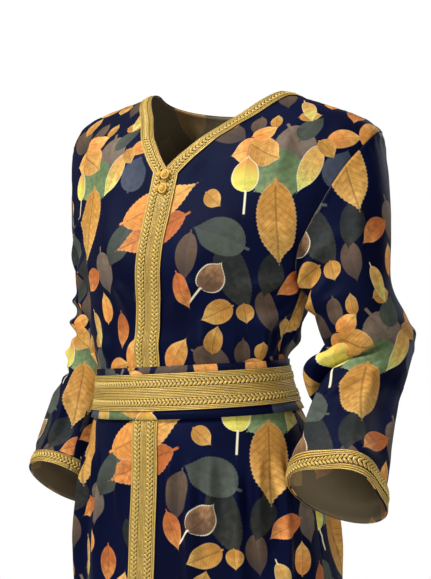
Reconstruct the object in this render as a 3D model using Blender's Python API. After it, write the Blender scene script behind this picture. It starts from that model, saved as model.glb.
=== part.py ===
"""A worn kaftan: printed cloth front, back and sleeves, with gold braid on neck, front, cuffs and belt.

The origin is on the shoulder line, midway between the shoulders, where the wearer carries it.
The wearer faces -Y and the wearer's left is +X. Each piece of cloth is a grid of points on the worn
form, closed into a thin wall. What lies on a panel is made from that panel's points, moved out.
"""

import math

import bpy
import numpy as np
from mathutils import Vector

# Driving dimensions, in metres.
CLOTH = 0.0015
SEAM_GAP = 0.0003
REST_GAP = 0.0003
TINY = 1e-7
STEP = 1e-4
BRAID_THICK = 0.0015
BRAID_WIDTH = 0.019
NECK_HALF_WIDTH = 0.0985
NECK_FRONT_LEVEL = -0.103
NECK_BACK_LEVEL = -0.022
HEM_LEVEL = -1.360
UNDERARM_LEVEL = -0.243
SHOULDER_TIP_LEVEL = -0.050
FAN_LEVEL = -0.300
ARMHOLE_FRONT_ANGLE = 31.0
ARMHOLE_BACK_ANGLE = 27.0
SHOULDER_CAP = 0.008
BUST_RISE = 0.008
BUST_X = 0.072
BUST_LEVEL = -0.205
BUST_ACROSS = 0.042
BUST_TALL = 0.050

# How finely the cloth is cut into facets.
SIDE_COLUMNS = 10
ARMHOLE_ROWS = 8
SHOULDER_ROWS = 2
CAP_RINGS = 4
ARM_RINGS = 15
NECK_STEPS = 200
NECK_OVERRUN = 0.25
BALL_SEGMENTS = 10
BALL_RINGS = 7
LOOP_SEGMENTS = 16
CORD_SIDES = 5
OFFSET_STEPS = 6
SOLVE_STEPS = 8

# The worn body of the garment, one row for each level.
# level, half_width, front, back, centre_y, sway, tilt
BODY = np.array([
    (-1.360, 0.270, 0.212, 0.222, -0.040, 0.004, 0.000),
    (-0.900, 0.214, 0.160, 0.178, -0.040, 0.006, 0.006),
    (-0.700, 0.189, 0.138, 0.157, -0.040, 0.006, 0.015),
    (-0.600, 0.176, 0.127, 0.145, -0.041, 0.005, 0.030),
    (-0.520, 0.166, 0.117, 0.131, -0.043, 0.003, 0.045),
    (-0.460, 0.157, 0.109, 0.119, -0.044, 0.000, 0.060),
    (-0.420, 0.149, 0.103, 0.106, -0.044, -0.004, 0.070),
    (-0.380, 0.134, 0.093, 0.091, -0.045, -0.008, 0.075),
    (-0.350, 0.130, 0.087, 0.088, -0.046, -0.011, 0.075),
    (-0.320, 0.136, 0.084, 0.094, -0.046, -0.013, 0.070),
    (-0.280, 0.152, 0.085, 0.103, -0.045, -0.012, 0.040),
    (-0.243, 0.163, 0.092, 0.107, -0.040, -0.011, 0.012),
    (-0.205, 0.186, 0.103, 0.108, -0.027, -0.009, -0.008),
    (-0.165, 0.212, 0.108, 0.106, -0.014, -0.005, -0.030),
    (-0.130, 0.226, 0.107, 0.100, -0.007, -0.002, -0.050),
    (-0.100, 0.232, 0.104, 0.094, -0.003, -0.001, -0.062),
    (-0.070, 0.234, 0.091, 0.084, -0.001, 0.000, -0.068),
    (-0.050, 0.229, 0.072, 0.075, 0.000, 0.000, -0.070),
    (-0.035, 0.210, 0.055, 0.066, 0.000, 0.000, -0.070),
    (-0.020, 0.168, 0.043, 0.056, 0.000, 0.000, -0.070),
    (0.000, 0.0985, 0.026, 0.034, 0.000, 0.000, -0.070),
])
LEVEL, HALF_WIDTH, FRONT, BACK, CENTRE_Y, SWAY, TILT = range(7)

# The largest folds of the skirt: the angle round the body, its spread, and the rise at the hem.
# angle, spread, rise
SKIRT_FOLDS = (
    (63.0, 9.0, 0.020),
    (36.0, 9.5, 0.024),
    (10.0, 8.0, 0.017),
    (116.0, 9.0, 0.022),
    (143.0, 8.0, 0.018),
    (170.0, 9.5, 0.021),
    (198.0, 8.5, 0.019),
    (225.0, 9.5, 0.024),
    (254.0, 9.0, 0.020),
    (284.0, 9.0, 0.023),
    (312.0, 9.5, 0.021),
    (340.0, 8.5, 0.018),
)
FOLD_FLOOR = 0.010
FOLD_TOP = -0.430
FOLD_GROWTH = 0.8

# Levels of the rows below the armholes. The belt's edges and the rims of its braid are rows too.
SKIRT_LEVELS = (-1.360, -1.210, -1.060, -0.920, -0.800, -0.700, -0.610, -0.530, -0.465, -0.430)
BELT_LEVELS = (-0.404, -0.3945, -0.3725, -0.3505, -0.342)
WAIST_LEVELS = (-0.322, -0.300)

# The arms, one row for each station down the sleeve: the centre, the half sizes across the arm
# and from front to back, the rise of the fold inside the elbow, the nod and the roll of the ring in
# degrees, and the swell of its front corner as a share of its size.
# x, y, z, across, deep, fold, nod, roll, corner
LEFT_ARM = np.array([
    (0.205, -0.024, -0.262, 0.045, 0.053, 0.000, 0.0, 0.0, 0.00),
    (0.210, -0.010, -0.288, 0.050, 0.052, 0.000, 0.0, 0.0, 0.00),
    (0.216, 0.001, -0.312, 0.051, 0.053, 0.000, 0.0, 0.0, 0.00),
    (0.213, -0.004, -0.340, 0.049, 0.053, 0.009, 0.0, 0.0, 0.00),
    (0.212, -0.016, -0.362, 0.047, 0.051, 0.023, 0.0, 0.0, 0.00),
    (0.215, -0.033, -0.380, 0.045, 0.047, 0.003, 0.0, 0.0, 0.00),
    (0.219, -0.050, -0.398, 0.046, 0.045, 0.000, 3.0, 0.0, 0.00),
    (0.224, -0.076, -0.433, 0.052, 0.049, 0.000, 9.0, 0.0, 0.12),
    (0.2235, -0.0915, -0.4575, 0.0562, 0.0514, 0.000, 18.0, -0.7, 0.32),
    (0.2268, -0.0983, -0.4775, 0.0555, 0.0508, 0.000, 25.2, 9.9, 0.37),
])
RIGHT_ARM = np.array([
    (-0.209, 0.024, -0.262, 0.038, 0.050, 0.000, 0.0, 0.0, 0.00),
    (-0.210, 0.029, -0.290, 0.043, 0.052, 0.000, 0.0, 0.0, 0.00),
    (-0.213, 0.030, -0.325, 0.049, 0.054, 0.004, 0.0, 0.0, 0.00),
    (-0.217, 0.020, -0.365, 0.047, 0.050, 0.008, 0.0, 0.0, 0.00),
    (-0.220, 0.000, -0.405, 0.047, 0.047, 0.000, 2.0, 0.0, 0.00),
    (-0.221, -0.021, -0.446, 0.046, 0.047, 0.000, 6.0, 0.0, 0.00),
    (-0.220, -0.039, -0.480, 0.049, 0.049, 0.000, 11.0, 0.0, 0.00),
    (-0.220, -0.0433, -0.4925, 0.050, 0.050, 0.000, 14.0, 0.0, 0.00),
    (-0.220, -0.052, -0.512, 0.051, 0.052, 0.000, 16.0, 0.0, 0.00),
])
ARM_X, ARM_Y, ARM_Z, ACROSS, DEEP, FOLD, NOD, ROLL, CORNER = range(9)
# Each ring's points start this far round from the outer side, so that the sleeve hangs untwisted.
LEFT_TURN = math.radians(-8)
RIGHT_TURN = math.radians(-46)
STATION_STEP = 0.25
ELBOW_FOLD_ANGLE = math.radians(142)
ELBOW_FOLD_SPREAD = math.radians(38)
ELBOW_FOLD_DROP = 0.25
CORNER_ANGLE = math.radians(48)
CORNER_SPREAD = math.radians(24)

# The belt, two fastenings at the foot of the neck, and the parting of each ring at the back.
BELT_LIFT = 0.0024
BELT_THICK = 0.0016
BACK_PARTING = 0.0010
BUTTON_RADIUS = 0.0042
LOOP_KNOT_RADIUS = 0.0034
LOOP_CORD_RADIUS = 0.0008
LOOP_RADIUS = 0.0054
BUTTON_X = 0.0035
LOOP_KNOT_X = -0.0050
BUTTON_LEVELS = {"upper": -0.1130, "lower": -0.1300}

# Colour, metallic and roughness of each material.
CREPE = ((0.010, 0.013, 0.055), 0.0, 0.72)
GOLD = ((0.560, 0.360, 0.100), 0.75, 0.42)


def smooth(table, column, at):
    """Reads a column of a table at any place down it, as a curve that never overshoots a row."""
    x, y = table[:, 0], table[:, column]
    step = np.diff(x)
    rise = np.diff(y) / step
    slope = np.concatenate([rise[:1], np.zeros(len(x) - 2), rise[-1:]])
    same = rise[:-1] * rise[1:] > 0
    near, far = step[:-1] + 2 * step[1:], 2 * step[:-1] + step[1:]
    inner = np.zeros(len(same))
    inner[same] = (near + far)[same] / (near[same] / rise[1:][same] + far[same] / rise[:-1][same])
    slope[1:-1] = inner
    at = np.clip(np.asarray(at, float), x[0], x[-1])
    i = np.clip(np.searchsorted(x, at, side="right") - 1, 0, len(x) - 2)
    t = (at - x[i]) / step[i]
    start = y[i] * (1 + 2 * t) * (1 - t) ** 2 + step[i] * slope[i] * t * (1 - t) ** 2
    end = y[i + 1] * t**2 * (3 - 2 * t) - step[i] * slope[i + 1] * t**2 * (1 - t)
    return start + end


def unit(vectors):
    return vectors / np.linalg.norm(vectors, axis=-1, keepdims=True)


def skirt_folds(angle, level):
    """How far the skirt's folds stand out, growing from the belt down to the hem."""
    fall = np.clip((FOLD_TOP - level) / (FOLD_TOP - HEM_LEVEL), 0, 1) ** FOLD_GROWTH
    degrees = np.degrees(angle) % 360
    rise = 0.0
    for centre, spread, height in SKIRT_FOLDS:
        away = (degrees - centre + 180) % 360 - 180
        rise = rise + height * np.exp(-((away / spread) ** 2))
    return fall * (rise - FOLD_FLOOR)


def body(angle, level):
    """The outer face of the worn body. Angle 0 is the left side seam and 90 degrees the centre front."""
    angle, level = np.broadcast_arrays(np.asarray(angle, float), np.asarray(level, float))
    front = np.sin(angle) > 0
    out = skirt_folds(angle, level)
    depth = np.where(front, smooth(BODY, FRONT, level), smooth(BODY, BACK, level)) + out
    x = (smooth(BODY, HALF_WIDTH, level) + out) * np.cos(angle)
    bust_x = (np.abs(x) - BUST_X) / BUST_ACROSS
    bust_z = (level - BUST_LEVEL) / BUST_TALL
    bust = np.exp(-(bust_x**2) - bust_z**2)
    y = smooth(BODY, CENTRE_Y, level) - (depth + BUST_RISE * bust * front) * np.sin(angle)
    x = x + smooth(BODY, SWAY, level)
    return np.stack([x, y, level + smooth(BODY, TILT, level) * x], axis=-1)


def body_normal(angle, level):
    along = body(angle + STEP, level) - body(angle - STEP, level)
    up = body(angle, level + STEP) - body(angle, level - STEP)
    return unit(np.cross(up, along))


def neck_curve(front):
    """The neck edge of one half, as angles and levels from a little past the centre to the shoulder."""
    if front:
        share = np.linspace(1 + NECK_OVERRUN, 0, NECK_STEPS) ** 2
        level = NECK_FRONT_LEVEL * share
        edge = NECK_HALF_WIDTH * (1 - share)
        return np.arccos(np.clip(edge / smooth(BODY, HALF_WIDTH, level), -1, 1)), level
    angle = np.linspace(math.pi / 2 * (1 + NECK_OVERRUN), 0, NECK_STEPS)
    return angle, NECK_BACK_LEVEL * np.sin(angle) ** 2


def offset_curve(angle, level, front, distance):
    """Moves a curve on the body down from the neck by a distance along the cloth, in short steps."""
    angle, level = angle.copy(), level.copy()
    turn = 1 if front else -1
    for _ in range(OFFSET_STEPS):
        point = body(turn * angle, level)
        way = unit(np.gradient(point, axis=0))
        across = unit(np.cross(way, body_normal(turn * angle, level))) * turn
        by_angle = (body(turn * (angle + STEP), level) - point) / STEP
        by_level = (body(turn * angle, level + STEP) - point) / STEP
        # The move across the curve is solved for the two body directions, which aren't square.
        angle_square = (by_angle * by_angle).sum(-1)
        level_square = (by_level * by_level).sum(-1)
        shared = (by_angle * by_level).sum(-1)
        on_angle = (by_angle * across).sum(-1)
        on_level = (by_level * across).sum(-1)
        scale = distance / OFFSET_STEPS / (angle_square * level_square - shared**2)
        angle = angle + (on_angle * level_square - on_level * shared) * scale
        level = level + (on_level * angle_square - on_angle * shared) * scale
    return angle, level


def level_reader(angle, level):
    order = np.argsort(angle)
    return lambda at: np.interp(at, angle[order], level[order])


def inner_neck_readers():
    """Readers of the neck braid's lower edge, front and back, made to meet on the shoulder seam."""
    curves = {front: offset_curve(*neck_curve(front), front, BRAID_WIDTH) for front in (True, False)}
    meet = np.mean([level_reader(*curve)(0.0) for curve in curves.values()])
    readers = {}
    for front, (angle, level) in curves.items():
        shift = meet - level_reader(angle, level)(0.0)
        readers[front] = level_reader(angle, level + shift * np.clip(np.cos(angle), 0, 1) ** 3)
    return readers


NECK = {front: level_reader(*neck_curve(front)) for front in (True, False)}
NECK_INNER = inner_neck_readers()


def armhole_turns():
    return np.linspace(math.pi, 0, ARMHOLE_ROWS + 1)


def side_levels():
    """Levels of the rows at the side seam, from the underarm to the edge of the neck braid."""
    centre = (UNDERARM_LEVEL + SHOULDER_TIP_LEVEL) / 2
    half = (SHOULDER_TIP_LEVEL - UNDERARM_LEVEL) / 2
    armhole = centre + half * np.cos(armhole_turns())
    shoulder = np.linspace(SHOULDER_TIP_LEVEL, float(NECK_INNER[True](0.0)), SHOULDER_ROWS + 1)
    return np.concatenate([armhole, shoulder[1:]])


LOWER_LEVELS = SKIRT_LEVELS + BELT_LEVELS + WAIST_LEVELS
UNDERARM_ROW = len(LOWER_LEVELS)
TIP_ROW = UNDERARM_ROW + ARMHOLE_ROWS
INNER_ROW = TIP_ROW + SHOULDER_ROWS
NECK_ROW = INNER_ROW + 1
BELT_ROW = len(SKIRT_LEVELS)


def row_level(row, angle, front):
    """The level of a row at an angle: flat below the armholes, and fanned up to the neck above."""
    if row < UNDERARM_ROW:
        return np.full_like(angle, LOWER_LEVELS[row])
    if row == NECK_ROW:
        return NECK[front](angle)
    share = (side_levels()[row - UNDERARM_ROW] - FAN_LEVEL) / (float(NECK_INNER[True](0.0)) - FAN_LEVEL)
    return FAN_LEVEL + (NECK_INNER[front](angle) - FAN_LEVEL) * share


def edge_angle(row, front):
    """How far a panel's side edge is from the side seam: nothing on the seams, open at the armhole."""
    if not UNDERARM_ROW < row < TIP_ROW:
        return 0.0
    widest = ARMHOLE_FRONT_ANGLE if front else ARMHOLE_BACK_ANGLE
    return math.radians(widest) * math.sin(armhole_turns()[row - UNDERARM_ROW])


def half_row(row, front):
    """Angles and levels of one row from the centre to the side, the second column a braid's width away."""
    edge = edge_angle(row, front)
    second = math.pi / 2
    for _ in range(SOLVE_STEPS):
        level = row_level(row, np.array(second), front)
        second = math.acos(BRAID_WIDTH / float(smooth(BODY, HALF_WIDTH, level)))
    angle = np.concatenate([[math.pi / 2], np.linspace(second, edge, SIDE_COLUMNS)])
    return angle, row_level(row, angle, front)


def panel_grid(front):
    """Angles and levels of a whole panel, from the wearer's left side to the right."""
    angles, levels = [], []
    for row in range(NECK_ROW + 1):
        angle, level = half_row(row, front)
        angles.append(np.concatenate([angle[::-1], math.pi - angle[1:]]))
        levels.append(np.concatenate([level[::-1], level[1:]]))
    turn = 1 if front else -1
    return turn * np.array(angles), np.array(levels)


GRIDS = {front: panel_grid(front) for front in (True, False)}
POINTS = {front: body(*GRIDS[front]) for front in (True, False)}
NORMALS = {front: body_normal(*GRIDS[front]) for front in (True, False)}
CENTRE = SIDE_COLUMNS


def make_object(name, points, faces, material):
    """Makes an object whose faces point out, from points and triangles."""
    corners = points[faces]
    volume = np.einsum("ij,ij->i", corners[:, 0], np.cross(corners[:, 1], corners[:, 2])).sum()
    if volume < 0:
        faces = faces[:, ::-1]
    mesh = bpy.data.meshes.new(name)
    mesh.from_pydata(points.tolist(), [], faces.tolist())
    mesh.materials.append(material)
    obj = bpy.data.objects.new(name, mesh)
    bpy.context.scene.collection.objects.link(obj)
    return obj


def grid_cells(rows, columns, ring=False):
    """Cells of a grid of points as four indices each. A ring's last column joins its first."""
    index = np.arange(rows * columns).reshape(rows, columns)
    if ring:
        index = np.concatenate([index, index[:, :1]], axis=1)
    corners = (index[:-1, :-1], index[:-1, 1:], index[1:, 1:], index[1:, :-1])
    return np.stack([corner.ravel() for corner in corners], axis=1)


def wall(name, outer, inner, cells, material):
    """Closes an outer and an inner sheet of points, joined by the same cells, into one thin wall."""
    outer, inner = outer.reshape(-1, 3), inner.reshape(-1, 3)
    count = len(outer)
    sheet = np.concatenate([cells[:, [0, 1, 2]], cells[:, [0, 2, 3]]])
    edges = np.concatenate([sheet[:, [0, 1]], sheet[:, [1, 2]], sheet[:, [2, 0]]])
    known = {tuple(edge) for edge in edges.tolist()}
    rim = np.array([(p, q) for p, q in edges.tolist() if (q, p) not in known])
    here, there = rim[:, 0], rim[:, 1]
    # Pieces that meet at a seam split their rims the same way, so that they never cross.
    one = np.linalg.norm(outer[here] - inner[there], axis=1)
    other = np.linalg.norm(outer[there] - inner[here], axis=1)
    first_end = np.where(one < other - TINY, there, here)
    second_start = np.where(one < other - TINY, here, there)
    faces = [
        sheet,
        sheet[:, ::-1] + count,
        np.stack([there, here, first_end + count], axis=1),
        np.stack([second_start, here + count, there + count], axis=1),
    ]
    return make_object(name, np.concatenate([outer, inner]), np.concatenate(faces), material)


def arm_frames(arm, side, places):
    """Centre, outward and forward directions of the arm's rings at places, and a reader of their sizes."""
    stations = np.column_stack([np.arange(len(arm)), arm])
    places = np.asarray(places, float)

    def read(column, at):
        return smooth(stations, column + 1, at)

    def centre(at):
        return np.stack([read(ARM_X, at), read(ARM_Y, at), read(ARM_Z, at)], axis=-1)

    after = np.minimum(places + STATION_STEP, len(arm) - 1)
    before = np.maximum(places - STATION_STEP, 0)
    axis = unit(centre(after) - centre(before))
    aside = np.zeros_like(axis)
    aside[:, 0] = side
    out = unit(aside - (aside * axis).sum(-1, keepdims=True) * axis)
    forward = side * np.cross(axis, out)
    nod = np.radians(read(NOD, places))[:, None]
    forward = forward * np.cos(nod) - axis * np.sin(nod)
    roll = np.radians(read(ROLL, places))[:, None]
    out = out * np.cos(roll) + axis * np.sin(roll)
    return centre(places), out, forward, read


def arm_rings(arm, side, places):
    """Rings of points round the arm: the outer side first, then front, inner side and back."""
    centre, out, forward, read = arm_frames(arm, side, places)
    first = LEFT_TURN if side > 0 else RIGHT_TURN
    turn = first + np.linspace(0, 2 * math.pi, 2 * ARMHOLE_ROWS, endpoint=False)

    def swell(column, angle, spread):
        away = (turn - angle + math.pi) % (2 * math.pi) - math.pi
        return read(column, places)[:, None] * np.exp(-((away / spread) ** 2))

    bump = swell(FOLD, ELBOW_FOLD_ANGLE, ELBOW_FOLD_SPREAD)
    corner = 1 + swell(CORNER, CORNER_ANGLE, CORNER_SPREAD)
    along_out = (read(ACROSS, places)[:, None] * corner + bump) * np.cos(turn)
    along_forward = (read(DEEP, places)[:, None] * corner + bump) * np.sin(turn)
    points = (
        centre[:, None]
        + along_out[..., None] * out[:, None]
        + along_forward[..., None] * forward[:, None]
    )
    # The fold inside the elbow hangs over the forearm a little.
    points[..., 2] -= bump * ELBOW_FOLD_DROP
    return points


def armhole_loop(side):
    """The armhole edge as (front or back panel, row, column), from the shoulder tip round the front."""
    column = 0 if side > 0 else 2 * SIDE_COLUMNS
    down = [(True, row, column) for row in range(TIP_ROW, UNDERARM_ROW, -1)]
    up = [(False, row, column) for row in range(UNDERARM_ROW, TIP_ROW)]
    return down + up


def ring_normals(points):
    """Outward normals of a tube's rings of points."""
    around = np.roll(points, -1, axis=1) - np.roll(points, 1, axis=1)
    normals = unit(np.cross(around, np.gradient(points, axis=0)))
    outward = points - points.mean(axis=1, keepdims=True)
    return normals * np.sign((outward * normals).sum())


def sleeve_points(side):
    """The sleeve's outer grid from the armhole to the cuff, its normals, and the shared armhole mitre."""
    arm = LEFT_ARM if side > 0 else RIGHT_ARM
    places = np.concatenate([np.linspace(0, len(arm) - 2, ARM_RINGS), [len(arm) - 1]])
    rings = arm_rings(arm, side, places)
    spots = armhole_loop(side)
    loop = np.array([POINTS[front][row, column] for front, row, column in spots])
    loop_normal = np.array([NORMALS[front][row, column] for front, row, column in spots])
    share = np.linspace(0, 1, CAP_RINGS + 1)[:-1, None, None]
    turn = np.linspace(0, 2 * math.pi, len(spots), endpoint=False)[:, None]
    cap = np.array([side, 0, 0]) * SHOULDER_CAP * np.clip(np.cos(turn), 0, 1)
    cap_rings = loop * (1 - share) + rings[0] * share + cap * 4 * share * (1 - share)
    points = np.concatenate([cap_rings, rings])
    normals = ring_normals(points)
    mitre = unit(loop_normal + normals[0])
    along = np.roll(loop, -1, axis=0) - np.roll(loop, 1, axis=0)
    away = unit(np.cross(along, mitre))
    away = away * np.sign((away * (points[1] - loop)).sum(-1, keepdims=True))
    points[0] = loop + away * SEAM_GAP
    normals[0] = mitre
    return points, normals


SLEEVES = {side: sleeve_points(side) for side in (1, -1)}


def panel_edges(front):
    """The panel's points and normals, drawn back at the side and shoulder seams, mitred at the armholes."""
    points, normals = POINTS[front].copy(), NORMALS[front].copy()
    turn = 1 if front else -1
    for column, seam in ((0, 0.0), (2 * SIDE_COLUMNS, math.pi)):
        levels = GRIDS[front][1][:, column]
        way = unit(body(seam + STEP, levels) - body(seam - STEP, levels))
        into = turn * (way if column == 0 else -way)
        rows = np.array([not UNDERARM_ROW < row < TIP_ROW for row in range(NECK_ROW + 1)])
        points[rows, column] += into[rows] * SEAM_GAP / 2
        normals[rows, column] = body_normal(seam, levels)[rows]
    for side in (1, -1):
        for place, (on_front, row, column) in enumerate(armhole_loop(side)):
            meets = row in (UNDERARM_ROW, TIP_ROW)
            if on_front == front or meets:
                normals[row, column] = SLEEVES[side][1][0, place]
    return points, normals


def build_panel(name, front, material):
    points, normals = panel_edges(front)
    wall(name, points, points - CLOTH * normals, grid_cells(*points.shape[:2]), material)


def build_sleeve(name, side, material):
    points, normals = SLEEVES[side]
    wall(name, points, points - CLOTH * normals, grid_cells(*points.shape[:2], ring=True), material)


def build_strip(name, points, normals, lift, thick, cells, material):
    """A strip that lies a little above a panel's outer face, made from the panel's own points."""
    wall(name, points + (lift + thick) * normals, points + lift * normals, cells, material)


def braid_cells(side):
    """One braid's cells by panel, row and column: from the centre back, round the neck, to the hem."""
    first = CENTRE if side < 0 else CENTRE - SIDE_COLUMNS
    spans = [(False, INNER_ROW, first + column) for column in range(SIDE_COLUMNS)]
    spans += [(True, INNER_ROW, first + column) for column in range(SIDE_COLUMNS)]
    spans += [(True, row, CENTRE if side < 0 else CENTRE - 1) for row in range(INNER_ROW)]
    cells = []
    for front, row, column in spans:
        cell = [(row, column), (row, column + 1), (row + 1, column + 1), (row + 1, column)]
        cell = [(front, *corner) for corner in cell]
        cells.append(cell if front else [cell[0], cell[3], cell[2], cell[1]])
    return cells


def build_front_braid(name, side, material):
    """One sewn braid, drawn back a little at the centre front and the centre back."""
    step = -side
    seam = CENTRE + step * SIDE_COLUMNS
    spots = {}
    cells = []
    for cell in braid_cells(side):
        corners = [(front or column == seam, row, column) for front, row, column in cell]
        cells.append([spots.setdefault(corner, len(spots)) for corner in corners])
    points, normals = [], []
    for front, row, column in spots:
        point = POINTS[front][row, column]
        if column == CENTRE:
            point = point + unit(POINTS[front][row, column + step] - point) * SEAM_GAP / 2
        points.append(point)
        normals.append(NORMALS[front][row, column])
    points, normals = np.array(points), np.array(normals)
    build_strip(name, points, normals, REST_GAP, BRAID_THICK, np.array(cells), material)


def belt_grid(first, last):
    """Points and normals of the waist's rows, once round from the centre back to the centre back."""
    rings = []
    rows = slice(BELT_ROW + first, BELT_ROW + last + 1)
    for grid in (POINTS, NORMALS):
        back = grid[False][rows]
        left_half, right_half = back[:, CENTRE:0:-1], back[:, -2 : CENTRE - 1 : -1]
        rings.append(np.concatenate([left_half, grid[True][rows], right_half], axis=1))
    points, normals = rings
    points = points.copy()
    for end, neighbour in ((0, 1), (-1, -2)):
        points[:, end] += unit(points[:, neighbour] - points[:, end]) * BACK_PARTING / 2
    return points, normals


def build_belt(crepe, gold):
    """The belt: a band of the printed cloth, closed at the centre back, with two braids along it."""
    points, normals = belt_grid(0, 4)
    build_strip("belt_band", points, normals, BELT_LIFT, BELT_THICK, grid_cells(*points.shape[:2]), crepe)
    lift = BELT_LIFT + BELT_THICK + REST_GAP
    for name, first, last, shared in (("belt_braid_lower", 1, 2, 1), ("belt_braid_upper", 2, 3, 0)):
        points, normals = belt_grid(first, last)
        points[shared] += unit(points[1 - shared] - points[shared]) * SEAM_GAP / 2
        build_strip(name, points, normals, lift, BRAID_THICK, grid_cells(*points.shape[:2]), gold)


def build_cuff_braid(name, side, material):
    points, normals = SLEEVES[side]
    points, normals = points[-2:], normals[-2:]
    cells = grid_cells(*points.shape[:2], ring=True)
    build_strip(name, points, normals, REST_GAP, BRAID_THICK, cells, material)


def on_front_braid(x, level):
    """The place and the normal of the front braid's outer face at a distance from the centre line."""
    angle = math.acos(x / float(smooth(BODY, HALF_WIDTH, level)))
    normal = body_normal(angle, level)
    return body(angle, level) + normal * (REST_GAP + BRAID_THICK), normal


def add_ball(name, radius, place, material):
    bpy.ops.mesh.primitive_uv_sphere_add(
        segments=BALL_SEGMENTS, ring_count=BALL_RINGS, radius=radius, location=place
    )
    ball = bpy.context.object
    ball.name = name
    ball.data.materials.append(material)
    return ball


def build_fastening(name, level, material):
    """A round knotted button on the left braid, and its corded loop, which ends in a knot on the right."""
    face, normal = on_front_braid(BUTTON_X, level)
    add_ball("button_" + name, BUTTON_RADIUS, face + normal * (BUTTON_RADIUS + REST_GAP), material)
    side_face, side_normal = on_front_braid(LOOP_KNOT_X, level)
    lift = LOOP_KNOT_RADIUS + REST_GAP
    loop = add_ball("loop_" + name, LOOP_KNOT_RADIUS, side_face + side_normal * lift, material)
    bpy.ops.mesh.primitive_torus_add(
        major_radius=LOOP_RADIUS,
        minor_radius=LOOP_CORD_RADIUS,
        major_segments=LOOP_SEGMENTS,
        minor_segments=CORD_SIDES,
        location=face + normal * (BUTTON_RADIUS + REST_GAP),
        rotation=Vector(normal).to_track_quat("Z", "Y").to_euler(),
    )
    cord = bpy.context.object
    cord.hide_render = True
    cord.display_type = "WIRE"
    join = loop.modifiers.new("Loop", "BOOLEAN")
    join.operation = "UNION"
    join.object = cord


def clear_scene():
    for obj in list(bpy.data.objects):
        bpy.data.objects.remove(obj, do_unlink=True)


def make_material(name, look):
    colour, metallic, roughness = look
    material = bpy.data.materials.new(name)
    material.use_nodes = True
    shader = material.node_tree.nodes["Principled BSDF"]
    shader.inputs["Base Color"].default_value = (*colour, 1)
    shader.inputs["Metallic"].default_value = metallic
    shader.inputs["Roughness"].default_value = roughness
    material.diffuse_color = (*colour, 1)
    return material


clear_scene()
crepe = make_material("printed_crepe", CREPE)
gold = make_material("gold_braid", GOLD)
build_panel("front", True, crepe)
build_panel("back", False, crepe)
build_sleeve("sleeve_left", 1, crepe)
build_sleeve("sleeve_right", -1, crepe)
build_front_braid("braid_left", 1, gold)
build_front_braid("braid_right", -1, gold)
build_cuff_braid("cuff_braid_left", 1, gold)
build_cuff_braid("cuff_braid_right", -1, gold)
build_belt(crepe, gold)
for fastening, level in BUTTON_LEVELS.items():
    build_fastening(fastening, level, gold)
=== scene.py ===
# %% [markdown]
# # A gold-braided kaftan
# The object is a long printed dress, worn with its belt and shown with nobody in it. Its solids come
# packed from the CAD step: thin faceted walls at the true size. This script gives them their looks.
# Everything loaded here stays where it is. Each new piece is built on the same worn form and then
# stands for the faceted one.

# %% Load the frame
import math
from functools import partial

import bmesh
import bpy
import numpy as np
from mathutils import Matrix, Vector


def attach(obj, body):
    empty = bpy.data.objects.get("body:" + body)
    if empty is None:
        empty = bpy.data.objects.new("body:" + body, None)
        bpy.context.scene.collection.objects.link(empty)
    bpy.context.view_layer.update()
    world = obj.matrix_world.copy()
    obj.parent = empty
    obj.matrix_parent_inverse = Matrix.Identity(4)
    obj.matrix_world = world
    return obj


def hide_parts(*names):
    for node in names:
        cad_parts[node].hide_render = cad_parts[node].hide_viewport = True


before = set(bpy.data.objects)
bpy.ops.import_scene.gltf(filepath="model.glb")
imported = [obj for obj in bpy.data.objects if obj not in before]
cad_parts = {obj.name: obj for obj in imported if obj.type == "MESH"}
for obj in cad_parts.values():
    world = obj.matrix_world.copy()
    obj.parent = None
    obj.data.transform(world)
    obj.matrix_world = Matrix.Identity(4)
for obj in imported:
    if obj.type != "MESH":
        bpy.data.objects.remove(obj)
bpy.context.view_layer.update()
print("nodes to dress:", ", ".join(sorted(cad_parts)))

# %% [markdown]
# ## The worn form
# Cloth that is worn takes the shape of what fills it. That shape could be sculpted, but a few measured
# rings say it better: half width, depth in front and behind, and a lean, at each level. A curve that
# never overshoots joins the rows, so some twenty rings make a smooth body with no lumps between them.

# %% Sizes of the garment
CLOTH = 0.0013
BRAID_WIDTH = 0.019
NECK_HALF_WIDTH = 0.0985
NECK_FRONT_LEVEL = -0.103
NECK_BACK_LEVEL = -0.022
HEM_LEVEL = -1.360
UNDERARM_LEVEL = -0.243
SHOULDER_TIP_LEVEL = -0.050
FAN_LEVEL = -0.300
ARMHOLE_FRONT_ANGLE = math.radians(31.0)
ARMHOLE_BACK_ANGLE = math.radians(27.0)
SHOULDER_CAP = 0.008
BUST_RISE = 0.008
BUST_X = 0.072
BUST_LEVEL = -0.205
BUST_ACROSS = 0.042
BUST_TALL = 0.050
STEP = 1e-4

# In millimetres: level, half width, front depth, back depth, centre y, sway; tilt is in thousandths.
BODY = np.array([
    (-1360, 270, 212, 222, -40, 4, 0), (-900, 214, 160, 178, -40, 6, 6),
    (-700, 189, 138, 157, -40, 6, 15), (-600, 176, 127, 145, -41, 5, 30),
    (-520, 166, 117, 131, -43, 3, 45), (-460, 157, 109, 119, -44, 0, 60),
    (-420, 149, 103, 106, -44, -4, 70), (-380, 134, 93, 91, -45, -8, 75),
    (-350, 130, 87, 88, -46, -11, 75), (-320, 136, 84, 94, -46, -13, 70),
    (-280, 152, 85, 103, -45, -12, 40), (-243, 163, 92, 107, -40, -11, 12),
    (-205, 186, 103, 108, -27, -9, -8), (-165, 212, 108, 106, -14, -5, -30),
    (-130, 226, 107, 100, -7, -2, -50), (-100, 232, 104, 94, -3, -1, -62),
    (-70, 234, 91, 84, -1, 0, -68), (-50, 229, 72, 75, 0, 0, -70), (-35, 210, 55, 66, 0, 0, -70),
    (-20, 168, 43, 56, 0, 0, -70), (0, 98.5, 26, 34, 0, 0, -70),
]) / 1000
HALF_WIDTH, FRONT, BACK, CENTRE_Y, SWAY, TILT = range(1, 7)

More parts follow.
